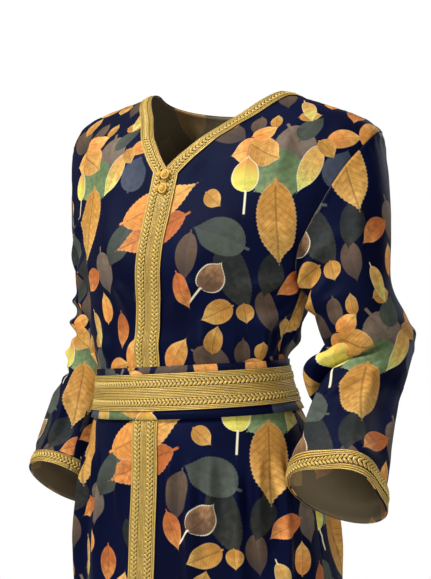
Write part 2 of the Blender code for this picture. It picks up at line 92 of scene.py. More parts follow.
# The skirt's largest folds: the angle round the body, the spread in degrees, and the rise at the hem.
SKIRT_FOLDS = (
    (63.0, 9.0, 0.020), (36.0, 9.5, 0.024), (10.0, 8.0, 0.017), (116.0, 9.0, 0.022),
    (143.0, 8.0, 0.018), (170.0, 9.5, 0.021), (198.0, 8.5, 0.019), (225.0, 9.5, 0.024),
    (254.0, 9.0, 0.020), (284.0, 9.0, 0.023), (312.0, 9.5, 0.021), (340.0, 8.5, 0.018),
)
FOLD_FLOOR = 0.010
FOLD_TOP = -0.430
FOLD_GROWTH = 0.8


# %% A smooth curve through the rows of a table
def smooth(table, column, at):
    """Reads a column of a table at any place down it, as a curve that never overshoots a row."""
    x, y = table[:, 0], table[:, column]
    step = np.diff(x)
    rise = np.diff(y) / step
    slope = np.concatenate([rise[:1], np.zeros(len(x) - 2), rise[-1:]])
    same = rise[:-1] * rise[1:] > 0
    near, far = step[:-1] + 2 * step[1:], 2 * step[:-1] + step[1:]
    inner = np.zeros(len(same))
    inner[same] = (near + far)[same] / (near[same] / rise[1:][same] + far[same] / rise[:-1][same])
    slope[1:-1] = inner
    at = np.clip(np.asarray(at, float), x[0], x[-1])
    i = np.clip(np.searchsorted(x, at, side="right") - 1, 0, len(x) - 2)
    t = (at - x[i]) / step[i]
    start = y[i] * (1 + 2 * t) * (1 - t) ** 2 + step[i] * slope[i] * t * (1 - t) ** 2
    end = y[i + 1] * t**2 * (3 - 2 * t) - step[i] * slope[i + 1] * t**2 * (1 - t)
    return start + end


def unit(vectors):
    return vectors / np.linalg.norm(vectors, axis=-1, keepdims=True)


def run(points, axis=0):
    """How far along the cloth each point lies from the first one, down the rows or across them."""
    steps = np.linalg.norm(np.diff(points, axis=axis), axis=-1)
    return np.insert(np.cumsum(steps, axis=axis), 0, 0, axis=axis)


# %% The worn body as a function of the angle round it and the level
def skirt_folds(angle, level):
    """How far the skirt's folds stand out, growing from the belt down to the hem."""
    fall = np.clip((FOLD_TOP - level) / (FOLD_TOP - HEM_LEVEL), 0, 1) ** FOLD_GROWTH
    degrees = np.degrees(angle) % 360
    rise = 0.0
    for centre, spread, height in SKIRT_FOLDS:
        away = (degrees - centre + 180) % 360 - 180
        rise = rise + height * np.exp(-((away / spread) ** 2))
    return fall * (rise - FOLD_FLOOR)


def body(angle, level):
    """The outer face. Angle 0 is the wearer's left side, 90 degrees the centre front."""
    angle, level = np.broadcast_arrays(np.asarray(angle, float), np.asarray(level, float))
    front = np.sin(angle) > 0
    out = skirt_folds(angle, level)
    depth = np.where(front, smooth(BODY, FRONT, level), smooth(BODY, BACK, level)) + out
    x = (smooth(BODY, HALF_WIDTH, level) + out) * np.cos(angle)
    bust_x = (np.abs(x) - BUST_X) / BUST_ACROSS
    bust_z = (level - BUST_LEVEL) / BUST_TALL
    bust = np.exp(-(bust_x**2) - bust_z**2)
    y = smooth(BODY, CENTRE_Y, level) - (depth + BUST_RISE * bust * front) * np.sin(angle)
    x = x + smooth(BODY, SWAY, level)
    return np.stack([x, y, level + smooth(BODY, TILT, level) * x], axis=-1)


def body_normal(angle, level):
    along = body(angle + STEP, level) - body(angle - STEP, level)
    up = body(angle, level + STEP) - body(angle, level - STEP)
    return unit(np.cross(up, along))


# %% The neck edge, and curves that run beside it on the cloth
NECK_STEPS = 200
NECK_OVERRUN = 0.25
OFFSET_STEPS = 6
SURE_ANGLE = 0.70


def neck_curve(front):
    """The neck edge of one half, as angles and levels from a little past the centre to the shoulder."""
    if front:
        share = np.linspace(1 + NECK_OVERRUN, 0, NECK_STEPS) ** 2
        level = NECK_FRONT_LEVEL * share
        edge = NECK_HALF_WIDTH * (1 - share)
        return np.arccos(np.clip(edge / smooth(BODY, HALF_WIDTH, level), -1, 1)), level
    angle = np.linspace(math.pi / 2 * (1 + NECK_OVERRUN), 0, NECK_STEPS)
    return angle, NECK_BACK_LEVEL * np.sin(angle) ** 2


def offset_curve(angle, level, front, distance):
    """Moves a curve on the body down from the neck by a distance along the cloth, in short steps."""
    angle, level = angle.copy(), level.copy()
    turn = 1 if front else -1
    for _ in range(OFFSET_STEPS):
        point = body(turn * angle, level)
        way = unit(np.gradient(point, axis=0))
        across = unit(np.cross(way, body_normal(turn * angle, level))) * turn
        by_angle = (body(turn * (angle + STEP), level) - point) / STEP
        by_level = (body(turn * angle, level + STEP) - point) / STEP
        # The move across the curve is solved for the two body directions, which aren't square.
        angle_square = (by_angle * by_angle).sum(-1)
        level_square = (by_level * by_level).sum(-1)
        shared = (by_angle * by_level).sum(-1)
        on_angle = (by_angle * across).sum(-1)
        on_level = (by_level * across).sum(-1)
        scale = distance / OFFSET_STEPS / (angle_square * level_square - shared**2)
        angle = angle + (on_angle * level_square - on_level * shared) * scale
        level = level + (on_level * angle_square - on_angle * shared) * scale
    return angle, level


def level_reader(angle, level):
    order = np.argsort(angle)
    return lambda at: np.interp(at, angle[order], level[order])


def inner_neck_readers():
    """Readers of the neck braid's lower edge, front and back, made to meet on the shoulder seam."""
    seam_levels = np.linspace(0, NECK_FRONT_LEVEL / 4, NECK_STEPS)
    seam = body(np.zeros(NECK_STEPS), seam_levels)
    meet = float(np.interp(BRAID_WIDTH, run(seam), seam_levels))
    readers = {}
    for front in (True, False):
        read = level_reader(*offset_curve(*neck_curve(front), front, BRAID_WIDTH))
        fall = (read(SURE_ANGLE) - meet) / (1 - math.cos(SURE_ANGLE))

        # Close to the seam the moved curve crowds and crosses itself, so a plain arc takes its place.
        def reader(at, read=read, fall=fall):
            return np.where(np.asarray(at) < SURE_ANGLE, meet + fall * (1 - np.cos(at)), read(at))

        readers[front] = reader
    return readers


NECK = {front: level_reader(*neck_curve(front)) for front in (True, False)}
NECK_INNER = inner_neck_readers()
SHOULDER_LEVEL = float(NECK_INNER[True](0.0))
print("the neck braid crosses the shoulder seam at level", round(SHOULDER_LEVEL, 4))

# %% [markdown]
# ## Fine grids for the cloth
# A flat shape folds badly if its mesh is coarse or uneven. Each panel is therefore a fine grid of its
# own: rows run from side seam to side seam and climb in a fan to the neck, and the points of a row are
# spaced evenly along the cloth. The sleeve is a tube whose first ring is the armhole itself, so the two
# pieces meet on one line.

# %% Rows and columns of a panel
PANEL_COLUMNS = 156
FLAT_ROWS = 190
FAN_ROWS = 9
ARMHOLE_ROWS = 34
SHOULDER_ROWS = 22
NECK_ROWS = 4
SEAM_GAP = 0.0003
FINE = 400


def fan_level(side_level, angle, front):
    """The level at an angle of the row that meets the side at side_level."""
    share = (side_level - FAN_LEVEL) / (SHOULDER_LEVEL - FAN_LEVEL)
    fanned = FAN_LEVEL + (NECK_INNER[front](angle) - FAN_LEVEL) * share
    return np.where(side_level < FAN_LEVEL, side_level, fanned)


def armhole_side_level(turn):
    """The row that meets the armhole edge at a turn from 0 at the shoulder tip to pi at the underarm."""
    centre = (UNDERARM_LEVEL + SHOULDER_TIP_LEVEL) / 2
    return centre + (SHOULDER_TIP_LEVEL - UNDERARM_LEVEL) / 2 * np.cos(turn)


def armhole_angle(turn, front):
    return (ARMHOLE_FRONT_ANGLE if front else ARMHOLE_BACK_ANGLE) * np.sin(turn)


def panel_rows():
    """One (side level, edge turn, share of the neck strip) for each row, from the hem to the neck."""
    turns = np.linspace(math.pi, 0, ARMHOLE_ROWS + 1)
    flat = [(level, 0.0, 0.0) for level in np.linspace(HEM_LEVEL, FAN_LEVEL, FLAT_ROWS + 1)]
    fan = [(level, 0.0, 0.0) for level in np.linspace(FAN_LEVEL, UNDERARM_LEVEL, FAN_ROWS + 1)[1:]]
    arm = [(float(armhole_side_level(turn)), turn, 0.0) for turn in turns[1:-1]]
    top = np.linspace(SHOULDER_TIP_LEVEL, SHOULDER_LEVEL, SHOULDER_ROWS + 1)
    shoulder = [(level, 0.0, 0.0) for level in top]
    neck = [(SHOULDER_LEVEL, 0.0, share) for share in np.linspace(0, 1, NECK_ROWS + 1)[1:]]
    return flat + fan + arm + shoulder + neck


def panel_grid(front):
    """Angles and levels of a panel's points, from the wearer's left to the right, evenly along each row."""
    side = 1 if front else -1
    angles, levels = [], []
    for side_level, turn, neck_share in panel_rows():
        edge = float(armhole_angle(turn, front))
        angle = np.linspace(edge, math.pi - edge, FINE)
        mirrored = np.minimum(angle, math.pi - angle)
        level = fan_level(side_level, mirrored, front)
        level = level + (NECK[front](mirrored) - level) * neck_share
        points = body(side * angle, level)
        along = run(points)
        # The middle column stays on the centre line, whatever the lean of the body.
        middle = np.interp(math.pi / 2, angle, along)
        left = np.linspace(0, middle, PANEL_COLUMNS // 2 + 1)
        right = np.linspace(middle, along[-1], PANEL_COLUMNS // 2 + 1)[1:]
        even = np.interp(np.concatenate([left, right]), along, angle)
        angles.append(even)
        levels.append(np.interp(even, angle, level))
    return side * np.array(angles), np.array(levels)


GRIDS = {front: panel_grid(front) for front in (True, False)}
print("a panel has", GRIDS[True][0].shape, "points")

# %% [markdown]
# ### The pattern piece
# A print is straight on the cloth before the cloth is cut. To know where each point of the worn panel
# lay on the flat cloth, the grid is laid out flat and its points are nudged until the lengths between
# neighbours are right again, as a dressmaker's pattern is copied from a finished dress.


# %% Lay a worn grid flat
# rows, columns, rounds
LAYOUTS = ((44, 20, 900), (110, 60, 120), (300, 200, 40))
# The step down and across to each neighbour that keeps its distance, and how strongly it does.
LINKS = (((1, 0), 1.0), ((0, 1), 1.0), ((1, 1), 0.5), ((1, -1), 0.5), ((2, 0), 0.3), ((0, 2), 0.3))
OVER_RELAX = 1.6


def some_of(count, wanted):
    return np.unique(np.round(np.linspace(0, count - 1, min(wanted, count - 1) + 1)).astype(int))


def relax(flat, worn, rounds):
    """Moves flat points until the lengths to their neighbours match the worn cloth's."""
    rows, columns = worn.shape[:2]
    pairs = []
    for (down, over), weight in LINKS:
        here = (slice(0, rows - down), slice(max(0, -over), columns - max(0, over)))
        there = (slice(down, rows), slice(max(0, over), columns + min(0, over)))
        length = np.linalg.norm(worn[there] - worn[here], axis=-1, keepdims=True)
        pairs.append((here, there, length, weight))
    for _ in range(rounds):
        push = np.zeros_like(flat)
        total = np.zeros(flat.shape[:2] + (1,))
        for here, there, length, weight in pairs:
            gap = flat[there] - flat[here]
            now = np.linalg.norm(gap, axis=-1, keepdims=True)
            move = gap * (0.5 * weight * (now - length) / now)
            push[here] += move
            push[there] -= move
            total[here] += weight
            total[there] += weight
        flat = flat + push / total * OVER_RELAX
    return flat


def spread(values, rows_from, columns_from, shape):
    """Fills a fine grid from values held on some of its rows and columns."""
    rows, columns = np.arange(shape[0]), np.arange(shape[1])
    across = np.array([np.interp(columns, columns_from, row) for row in values])
    return np.array([np.interp(rows, rows_from, column) for column in across.T]).T


def lay_flat(worn, flat):
    """Flat places, in metres, of a fine worn grid: settled on a coarse grid first, then on finer ones."""
    for rows, columns, rounds in LAYOUTS:
        rows_from, columns_from = some_of(worn.shape[0], rows), some_of(worn.shape[1], columns)
        pick = np.ix_(rows_from, columns_from)
        settled = relax(flat[pick], worn[pick], rounds)
        parts = [spread(settled[..., k], rows_from, columns_from, worn.shape[:2]) for k in (0, 1)]
        flat = np.stack(parts, axis=-1)
    return flat


def pattern_piece(worn, up, way, top):
    """A worn grid laid flat. Its middle column stands upright, with its row at top on 0."""
    middle = worn.shape[1] // 2
    across = run(worn, 1)
    flat = lay_flat(worn, np.stack([way * (across - across[:, middle : middle + 1]), up], axis=-1))
    line = flat[:, middle]
    lean = math.atan2(*(line[top] - line[-1 - top]))
    turn = np.array([[math.cos(lean), math.sin(lean)], [-math.sin(lean), math.cos(lean)]])
    return (flat - line[top]) @ turn


def panel_flat(front):
    """The panel's pattern piece: across from the centre line, and up, 0 on a level with the shoulders."""
    neck = NECK_FRONT_LEVEL if front else NECK_BACK_LEVEL
    return pattern_piece(body(*GRIDS[front]), GRIDS[front][1], -1, -1) + np.array([0, neck])


FLATS = {front: panel_flat(front) for front in (True, False)}
for front, flat in FLATS.items():
    size = flat.reshape(-1, 2).max(0) - flat.reshape(-1, 2).min(0)
    print("front" if front else "back", "pattern piece:", np.round(size, 3), "m")

# %% The arms: one row for each station down the sleeve
# In millimetres: x, y, z, across, deep and fold. Then nod and roll in degrees, and corner in hundredths.
ARM_UNITS = (1000,) * 6 + (1, 1, 100)
LEFT_ARM = np.array([
    (205, -24, -262, 45, 53, 0, 0, 0, 0), (210, -10, -288, 50, 52, 0, 0, 0, 0),
    (216, 1, -312, 51, 53, 0, 0, 0, 0), (213, -4, -340, 49, 53, 9, 0, 0, 0),
    (212, -16, -362, 47, 51, 23, 0, 0, 0), (215, -33, -380, 45, 47, 3, 0, 0, 0),
    (219, -50, -398, 46, 45, 0, 3, 0, 0), (224, -76, -433, 52, 49, 0, 9, 0, 12),
    (223.5, -91.5, -457.5, 56.2, 51.4, 0, 18, -0.7, 32),
    (226.8, -98.3, -477.5, 55.5, 50.8, 0, 25.2, 9.9, 37),
]) / ARM_UNITS
RIGHT_ARM = np.array([
    (-209, 24, -262, 38, 50, 0, 0, 0, 0), (-210, 29, -290, 43, 52, 0, 0, 0, 0),
    (-213, 30, -325, 49, 54, 4, 0, 0, 0), (-217, 20, -365, 47, 50, 8, 0, 0, 0),
    (-220, 0, -405, 47, 47, 0, 2, 0, 0), (-221, -21, -446, 46, 47, 0, 6, 0, 0),
    (-220, -39, -480, 49, 49, 0, 11, 0, 0), (-220, -43.3, -492.5, 50, 50, 0, 14, 0, 0),
    (-220, -52, -512, 51, 52, 0, 16, 0, 0),
]) / ARM_UNITS
ARM_X, ARM_Y, ARM_Z, ACROSS, DEEP, FOLD, NOD, ROLL, CORNER = range(9)
LEFT_TURN, RIGHT_TURN = math.radians(-8), math.radians(-46)
STATION_STEP = 0.25
ELBOW_FOLD_ANGLE, ELBOW_FOLD_SPREAD = math.radians(142), math.radians(38)
ELBOW_FOLD_DROP = 0.25
CORNER_ANGLE, CORNER_SPREAD = math.radians(48), math.radians(24)
SLEEVE_COLUMNS = 120
CAP_ROWS, ARM_ROWS, CUFF_ROWS = 36, 96, 4
JOIN_REACH, JOIN_ROUNDS = 17, 40
ELBOW_ROUNDS = 6


def arm_frames(arm, side, places):
    """Centre, outward and forward directions of the arm's rings at places, and a reader of their sizes."""
    stations = np.column_stack([np.arange(len(arm)), arm])

    def read(column, at):
        return smooth(stations, column + 1, at)

    def centre(at):
        return np.stack([read(ARM_X, at), read(ARM_Y, at), read(ARM_Z, at)], axis=-1)

    after = np.minimum(places + STATION_STEP, len(arm) - 1)
    before = np.maximum(places - STATION_STEP, 0)
    axis = unit(centre(after) - centre(before))
    aside = np.zeros_like(axis)
    aside[:, 0] = side
    out = unit(aside - (aside * axis).sum(-1, keepdims=True) * axis)
    forward = side * np.cross(axis, out)
    nod = np.radians(read(NOD, places))[:, None]
    forward = forward * np.cos(nod) - axis * np.sin(nod)
    roll = np.radians(read(ROLL, places))[:, None]
    out = out * np.cos(roll) + axis * np.sin(roll)
    return centre(places), out, forward, read


def arm_rings(arm, side, places, turn):
    """Rings of points round the arm. Turn 0 is the outer side, a quarter turn on is the front."""
    centre, out, forward, read = arm_frames(arm, side, places)
    turn = turn + (LEFT_TURN if side > 0 else RIGHT_TURN)

    def swell(column, angle, spread):
        away = (turn - angle + math.pi) % (2 * math.pi) - math.pi
        return read(column, places)[:, None] * np.exp(-((away / spread) ** 2))

    bump = swell(FOLD, ELBOW_FOLD_ANGLE, ELBOW_FOLD_SPREAD)
    corner = 1 + swell(CORNER, CORNER_ANGLE, CORNER_SPREAD)
    along_out = (read(ACROSS, places)[:, None] * corner + bump) * np.cos(turn)
    along_forward = (read(DEEP, places)[:, None] * corner + bump) * np.sin(turn)
    points = centre[:, None] + along_out[..., None] * out[:, None]
    points = points + along_forward[..., None] * forward[:, None]
    # The fold inside the elbow hangs over the forearm a little.
    points[..., 2] -= bump * ELBOW_FOLD_DROP
    return points


def armhole_points(side, turn):
    """The armhole edge of the body, down the front from the shoulder tip and up the back."""
    turn = turn % (2 * math.pi)
    points = []
    for one in turn:
        front = bool(one <= math.pi)
        down = one if front else 2 * math.pi - one
        angle = armhole_angle(down, front)
        level = fan_level(armhole_side_level(down), angle, front)
        angle = angle if side > 0 else math.pi - angle
        points.append(body(angle if front else -angle, level))
    return np.array(points)


def soften(points, rounds):
    """Evens out a grid's inner rows, in place, keeping its first and last ones."""
    for _ in range(rounds):
        points[1:-1] = (points[:-2] + 2 * points[1:-1] + points[2:]) / 4


def sleeve_grid(side):
    """The worn sleeve, slit along the underarm seam: rows from the armhole to the cuff."""
    arm = LEFT_ARM if side > 0 else RIGHT_ARM
    turn = math.pi + np.linspace(0, 2 * math.pi, SLEEVE_COLUMNS + 1)
    last = len(arm) - 1
    cuff_places = np.linspace(last - 1, last, CUFF_ROWS + 1)[1:]
    places = np.concatenate([np.linspace(0, last - 1, ARM_ROWS + 1), cuff_places])
    rings = arm_rings(arm, side, places, turn)
    loop = armhole_points(side, turn)
    share = np.linspace(0, 1, CAP_ROWS + 1)[:-1, None, None]
    cap = np.array([side, 0, 0]) * SHOULDER_CAP * np.clip(np.cos(turn), 0, 1)[:, None]
    cap_rings = loop * (1 - share) + rings[0] * share + cap * 4 * share * (1 - share)
    points = np.concatenate([cap_rings, rings])
    # The straight cap turns into the arm with no corner.
    soften(points[CAP_ROWS - JOIN_REACH : CAP_ROWS + JOIN_REACH + 1], JOIN_ROUNDS)
    # The rings crowd together inside the elbow, so the rows are spaced evenly down each column.
    arm_part = points[CAP_ROWS : CAP_ROWS + ARM_ROWS + 1]
    down = run(arm_part)
    for column in range(len(turn)):
        even = np.linspace(0, down[-1, column], ARM_ROWS + 1)
        arm_part[:, column] = np.stack(
            [np.interp(even, down[:, column], arm_part[:, column, axis]) for axis in range(3)], axis=-1)
    soften(arm_part, ELBOW_ROUNDS)
    return points


def sleeve_flat(worn):
    """The sleeve's pattern piece: across from the outer line, and up from the shoulder tip."""
    down = run(worn)
    return pattern_piece(worn, down[CAP_ROWS] - down, 1, 0)


SLEEVES = {side: sleeve_grid(side) for side in (1, -1)}
SLEEVE_FLATS = {side: sleeve_flat(worn) for side, worn in SLEEVES.items()}
for side, flat in SLEEVE_FLATS.items():
    size = flat.reshape(-1, 2).max(0) - flat.reshape(-1, 2).min(0)
    print("left" if side > 0 else "right", "sleeve pattern piece:", np.round(size, 3), "m")

# %% [markdown]
# ## Folds and creases
# The large form says where the cloth goes. What makes it read as cloth is how it gives way: it gathers
# at the belt, pulls from the armpits and buckles inside a bent elbow. A simulation could find such
# folds, but it would move the cloth away from its true size. Here they are placed one by one on the
# flat pattern, as soft ridges and troughs of uneven length, depth and spacing, all round the garment.

# %% Crease tables, on the flat pattern: rise above 0 is a ridge and below 0 a trough
# In millimetres: across and up at the root, across and up at the tip, half width, rise, bow.
FRONT_CREASES = np.array([
    # Gathers that climb from the belt.
    (-168, -405, -180, -285, 8.5, 13.4, 4), (-140, -405, -148, -300, 7, 10, -3),
    (-112, -403, -106, -325, 6.5, 7.2, 2), (-83, -405, -90, -290, 8, 8.2, 4),
    (-50, -402, -46, -335, 6, 5.2, -2), (46, -403, 41, -330, 6.5, 5.1, 2),
    (80, -402, 70, -275, 8.5, 7.6, -5), (108, -398, 103, -305, 6.5, 9.1, 3),
    (131, -394, 140, -262, 8.5, 13.3, 6), (154, -391, 164, -290, 6.5, 12.1, -3),
    (172, -388, 178, -275, 7, 10.5, 2),
    # Drag lines from the armpits and the bust.
    (196, -252, 112, -312, 9, 11.1, -8), (192, -235, 90, -262, 10, 8.1, -6),
    (188, -222, 130, -180, 8.5, 8.5, 6), (-190, -246, -120, -300, 9, 10.7, 7),
    (-186, -228, -100, -236, 10, 7.2, 6), (-182, -214, -138, -165, 8, 7.6, -5),
    (60, -246, 24, -320, 12, 4.5, 6), (-60, -250, -28, -325, 12, 4.5, -6),
    # The shoulders, where the cloth hangs from the seam.
    (168, -55, 150, -170, 10, 5.3, 5), (-166, -52, -152, -160, 10, 6.2, -4),
    # Gathers and folds that fall from the belt.
    (-176, -452, -196, -640, 9, 12.1, 4), (-151, -455, -160, -585, 7.5, 9.7, -3),
    (-122, -455, -136, -700, 10, 12, 5), (-94, -456, -98, -560, 7, 6.7, -2),
    (-64, -457, -70, -655, 9.5, 8, 4), (-38, -457, -36, -545, 6, 4.7, 1),
    (36, -457, 40, -560, 6.5, 5.7, -1), (60, -456, 72, -690, 9.5, 9, -4),
    (87, -454, 94, -575, 7, 7.3, 3), (112, -452, 130, -730, 10.5, 12.1, -5),
    (140, -448, 150, -600, 7.5, 10, 2), (163, -446, 182, -650, 9, 12.3, -4),
    (182, -444, 196, -560, 7, 9.5, 2),
    # Long shallow folds between the large ones, down to the hem.
    (-210, -640, -262, -1330, 22, 11.9, 10), (-105, -700, -124, -1350, 24, 11.1, -10),
    (-46, -800, -50, -1360, 18, 8.5, 6), (52, -760, 62, -1360, 20, 9.5, -8),
    (128, -720, 150, -1350, 24, 11.9, 10), (222, -660, 275, -1330, 22, 12.1, -10),
    (-300, -930, -330, -1340, 20, 10.1, 6), (310, -960, 335, -1340, 20, 10.1, -6),
]) / 1000
BACK_CREASES = np.array([
    # Gathers that climb from the belt.
    (-176, -398, -168, -270, 8, 12.1, -4), (-150, -401, -158, -310, 6.5, 9.2, 2),
    (-121, -403, -110, -255, 8.5, 11.5, 5), (-91, -404, -94, -322, 6.5, 6.6, -2),
    (-62, -405, -50, -280, 8, 8.4, 4), (-30, -405, -34, -330, 6, 5.2, -1),
    (4, -405, 12, -270, 8.5, 7.9, -4), (37, -405, 34, -325, 6, 5.7, 2),
    (66, -405, 78, -285, 8, 9.1, -4), (99, -404, 94, -315, 6.5, 7.4, 2),
    (126, -403, 132, -262, 8.5, 12, 4), (155, -402, 150, -318, 6.5, 9.3, -2),
    (178, -400, 172, -280, 7.5, 11.3, 3),
    # Slack across the shoulder blades, and the pull behind the armholes.
    (-186, -200, -60, -236, 11, 7.2, -8), (182, -206, 54, -228, 11, 7.6, 8),
    (-196, -246, -104, -316, 9, 10.8, 7), (190, -240, 110, -304, 9, 10.3, -7),
    (-172, -70, -146, -190, 10, 6.3, 6), (170, -66, 150, -182, 10, 5.8, -5),
    (-50, -60, 46, -72, 10, -3, 6),
    # Gathers and folds that fall from the belt.
    (-184, -445, -204, -660, 9, 12.2, -4), (-156, -448, -164, -570, 7, 8.6, 2),
    (-128, -451, -146, -720, 10, 12.4, 5), (-98, -453, -104, -580, 7, 7.4, -3),
    (-70, -454, -80, -690, 9.5, 9.5, 4), (-40, -455, -42, -560, 6.5, 6.1, 1),
    (-10, -455, -14, -740, 10, 9.1, -4), (20, -455, 24, -575, 6.5, 5.9, 2),
    (50, -455, 58, -700, 9.5, 8.8, -5), (81, -454, 86, -590, 7, 7.6, 2),
    (110, -453, 126, -740, 10, 12, -4), (140, -452, 150, -590, 7.5, 9.1, 3),
    (170, -450, 188, -670, 9, 12, -4),
    # Long shallow folds down to the hem.
    (-224, -660, -280, -1330, 22, 12.1, 10), (-112, -740, -150, -1360, 24, 11.5, -10),
    (-30, -780, -36, -1370, 21, 10.1, 8), (48, -740, 60, -1370, 22, 10.5, -8),
    (134, -760, 164, -1360, 24, 11.9, 10), (226, -680, 284, -1330, 22, 11.9, -10),
    (-312, -950, -338, -1340, 20, 10.1, 6), (306, -940, 336, -1340, 20, 10.1, -6),
]) / 1000
# On a sleeve, across 0 is its outer line, and the front of the wearer's left sleeve is across 0.08.
LEFT_SLEEVE_CREASES = np.array([
    # The dark fold under the crook, which runs up to the elbow's corner, and the cloth beside it.
    (172, -366, -2, -224, 5.8, -12, 14.6), (183, -353, 9, -211, 8.5, 5.5, 14.6),
    (110, -352, 10, -262, 7.5, 5, 6), (-56, -228, 10, -242, 8.5, 4.6, 4),
    (-64, -262, -8, -258, 8.5, 5, -4), (140, -200, 60, -186, 8.5, 4.6, 6),
    # Drag lines from the armpit.
    (150, -178, 60, -110, 9.5, 7.7, 10), (154, -196, 84, -150, 8.5, 7, -6),
    (-150, -176, -70, -120, 9, 6.7, -8), (44, -60, 56, -185, 11, 5.9, -6),
    (-40, -50, -46, -190, 12, 5.7, 8),
    # Long folds down the forearm.
    (52, -285, 70, -425, 9.5, 8.3, 8), (-4, -282, 8, -430, 11, 8.7, -8),
    (-60, -262, -44, -430, 10, 9.3, 10), (-104, -258, -100, -420, 9, 7.4, -6),
    (100, -300, 116, -425, 8, 7, -4), (-140, -226, -130, -320, 8.5, 6.7, 6),
    (-30, -300, -20, -400, 7, -5.4, 3),
]) / 1000
RIGHT_SLEEVE_CREASES = np.array([
    # Small creases across the crook of a nearly straight arm.
    (20, -262, 104, -250, 7, 6.7, 5), (30, -284, 112, -279, 6.5, -6.7, -4),
    (16, -305, 98, -302, 7.5, 7.4, 5), (34, -330, 106, -336, 6.5, -5.7, 3),
    (-20, -290, 30, -300, 7, 4.3, -3), (50, -232, 120, -226, 8, 5.7, -5),
    # Drag lines from the armpit.
    (150, -190, 72, -130, 9, 7, 8), (-150, -186, -74, -122, 9, 7.4, -8),
    (150, -214, 90, -182, 8, 5.9, -4), (36, -50, 48, -200, 11, 5.4, -6),
    (-44, -50, -50, -210, 12, 5.7, 8),
    # Long folds down the forearm.
    (52, -345, 64, -490, 9.5, 8.7, 6), (4, -330, 10, -495, 10, 8.3, -7),
    (-50, -315, -46, -490, 10, 8.7, 8), (-96, -300, -94, -480, 9, 7.4, -6),
    (98, -350, 108, -485, 8, 7, -4), (-136, -270, -132, -400, 8.5, 6.4, 5),
]) / 1000
# Where the cloth laps down the arm over the fold below it.
LEFT_SLEEVE_LAPS = np.array([(180, -356, 6, -214, 8, 4.5, 14.6)]) / 1000
RIPPLE_SEED = 41
RIPPLE_CELLS = 64
# A ripple's size across and up the cloth, and its rise.
RIPPLES = ((0.060, 0.130, 0.0022), (0.028, 0.060, 0.0009), (0.012, 0.022, 0.00028))
SIDE_TROUGH, SIDE_SPREAD = 0.42, 4.5
ROOT_WIDTH, TIP_WIDENS, ROOT_EASE, TIP_EASE = 0.85, 0.45, 0.22, 0.55
SEAM_FADE = 0.016
NORMAL_ROUNDS = 16
CUFF_STIFF = 0.020
NECK_FADE = 0.030
BELT_TOP, BELT_FOOT = -0.342, -0.404
BELT_FADE = 0.030
UNDER_BELT = 0.15
BLOUSE_LEVEL, BLOUSE_TALL, BLOUSE_RISE = -0.318, 0.015, 0.0030
PUCKER_PITCH, PUCKER_DEPTH, PUCKER_REACH = 0.0135, 0.0007, 0.014
PUCKER_UNEVEN, PUCKER_DRIFT, PUCKER_START = 1.7, 61, 0.004
UNDERARM_FADE = 0.012


def soft_step(value):
    value = np.clip(value, 0, 1)
    return value * value * (3 - 2 * value)


def creases(table, flat):
    """How far the creases of a table move the cloth at flat places."""
    out = np.zeros(flat.shape[:-1])
    for start_u, start_v, end_u, end_v, spread, rise, bow in table:
        gap = flat - np.array([start_u, start_v])
        way = np.array([end_u - start_u, end_v - start_v])
        length = math.hypot(*way)
        along = gap @ way / length**2
        inside = np.clip(along, 0, 1)
        off = (gap[..., 0] * way[1] - gap[..., 1] * way[0]) / length - 4 * bow * inside * (1 - inside)
        # A crease is widest and lowest where it dies out, and steepest near its root.
        off = (off / (spread * (ROOT_WIDTH + TIP_WIDENS * inside))) ** 2
        ends = soft_step(along / ROOT_EASE) * soft_step((1 - along) / TIP_EASE)
        out += rise * ends * ((1 + SIDE_TROUGH) * np.exp(-off) - SIDE_TROUGH * np.exp(-off / SIDE_SPREAD))
    return out


def ripples(flat, seed):
    """Small uneven slack all over the cloth, the same at every run."""
    out = np.zeros(flat.shape[:-1])
    source = np.random.default_rng(RIPPLE_SEED + seed)
    for across, up, rise in RIPPLES:
        cells = source.uniform(-1, 1, (RIPPLE_CELLS, RIPPLE_CELLS))
        place = flat / np.array([across, up]) + RIPPLE_CELLS / 2
        first = np.floor(place).astype(int)
        share = soft_step(place - first)
        column, row = first[..., 0] % RIPPLE_CELLS, first[..., 1] % RIPPLE_CELLS
        next_column, next_row = (column + 1) % RIPPLE_CELLS, (row + 1) % RIPPLE_CELLS
        low = cells[row, column] * (1 - share[..., 0]) + cells[row, next_column] * share[..., 0]
        high = cells[next_row, column] * (1 - share[..., 0]) + cells[next_row, next_column] * share[..., 0]
        out += rise * (low * (1 - share[..., 1]) + high * share[..., 1])
    return out


def belt_hold(level):
    """1 on free cloth, falling to a little where the belt presses on it."""
    away = np.maximum(level - BELT_TOP, BELT_FOOT - level)
    return UNDER_BELT + (1 - UNDER_BELT) * soft_step(away / BELT_FADE)


def neck_hold(front, angle, level):
    """0 along the neck's stiff braid, rising to 1 on the free cloth below it."""
    mirrored = np.minimum(np.abs(angle), math.pi - np.abs(angle))
    return soft_step((NECK_INNER[front](mirrored) - level) / NECK_FADE)


def panel_rise(front, angle, level, flat):
    """How far the cloth of a panel stands out of the worn form."""
    table = FRONT_CREASES if front else BACK_CREASES
    rise = creases(table, flat) + ripples(flat, 0 if front else 1)
    blouse = BLOUSE_RISE * np.exp(-(((level - BLOUSE_LEVEL) / BLOUSE_TALL) ** 2))
    return (rise * belt_hold(level) + blouse) * neck_hold(front, angle, level)


def side_distance(points):
    """How far each point of a grid is from the nearer end of its row."""
    across = run(points, 1)
    return np.minimum(across, across[:, -1:] - across)


def puckers(flat, distance):
    """Short pulls that the stitches of a seam make in the cloth beside it."""
    up = flat[..., 1]
    wave = np.sin(up * 2 * math.pi / PUCKER_PITCH + PUCKER_UNEVEN * np.sin(up * PUCKER_DRIFT))
    return PUCKER_DEPTH * wave * np.exp(-distance / PUCKER_REACH) * soft_step(distance / PUCKER_START)


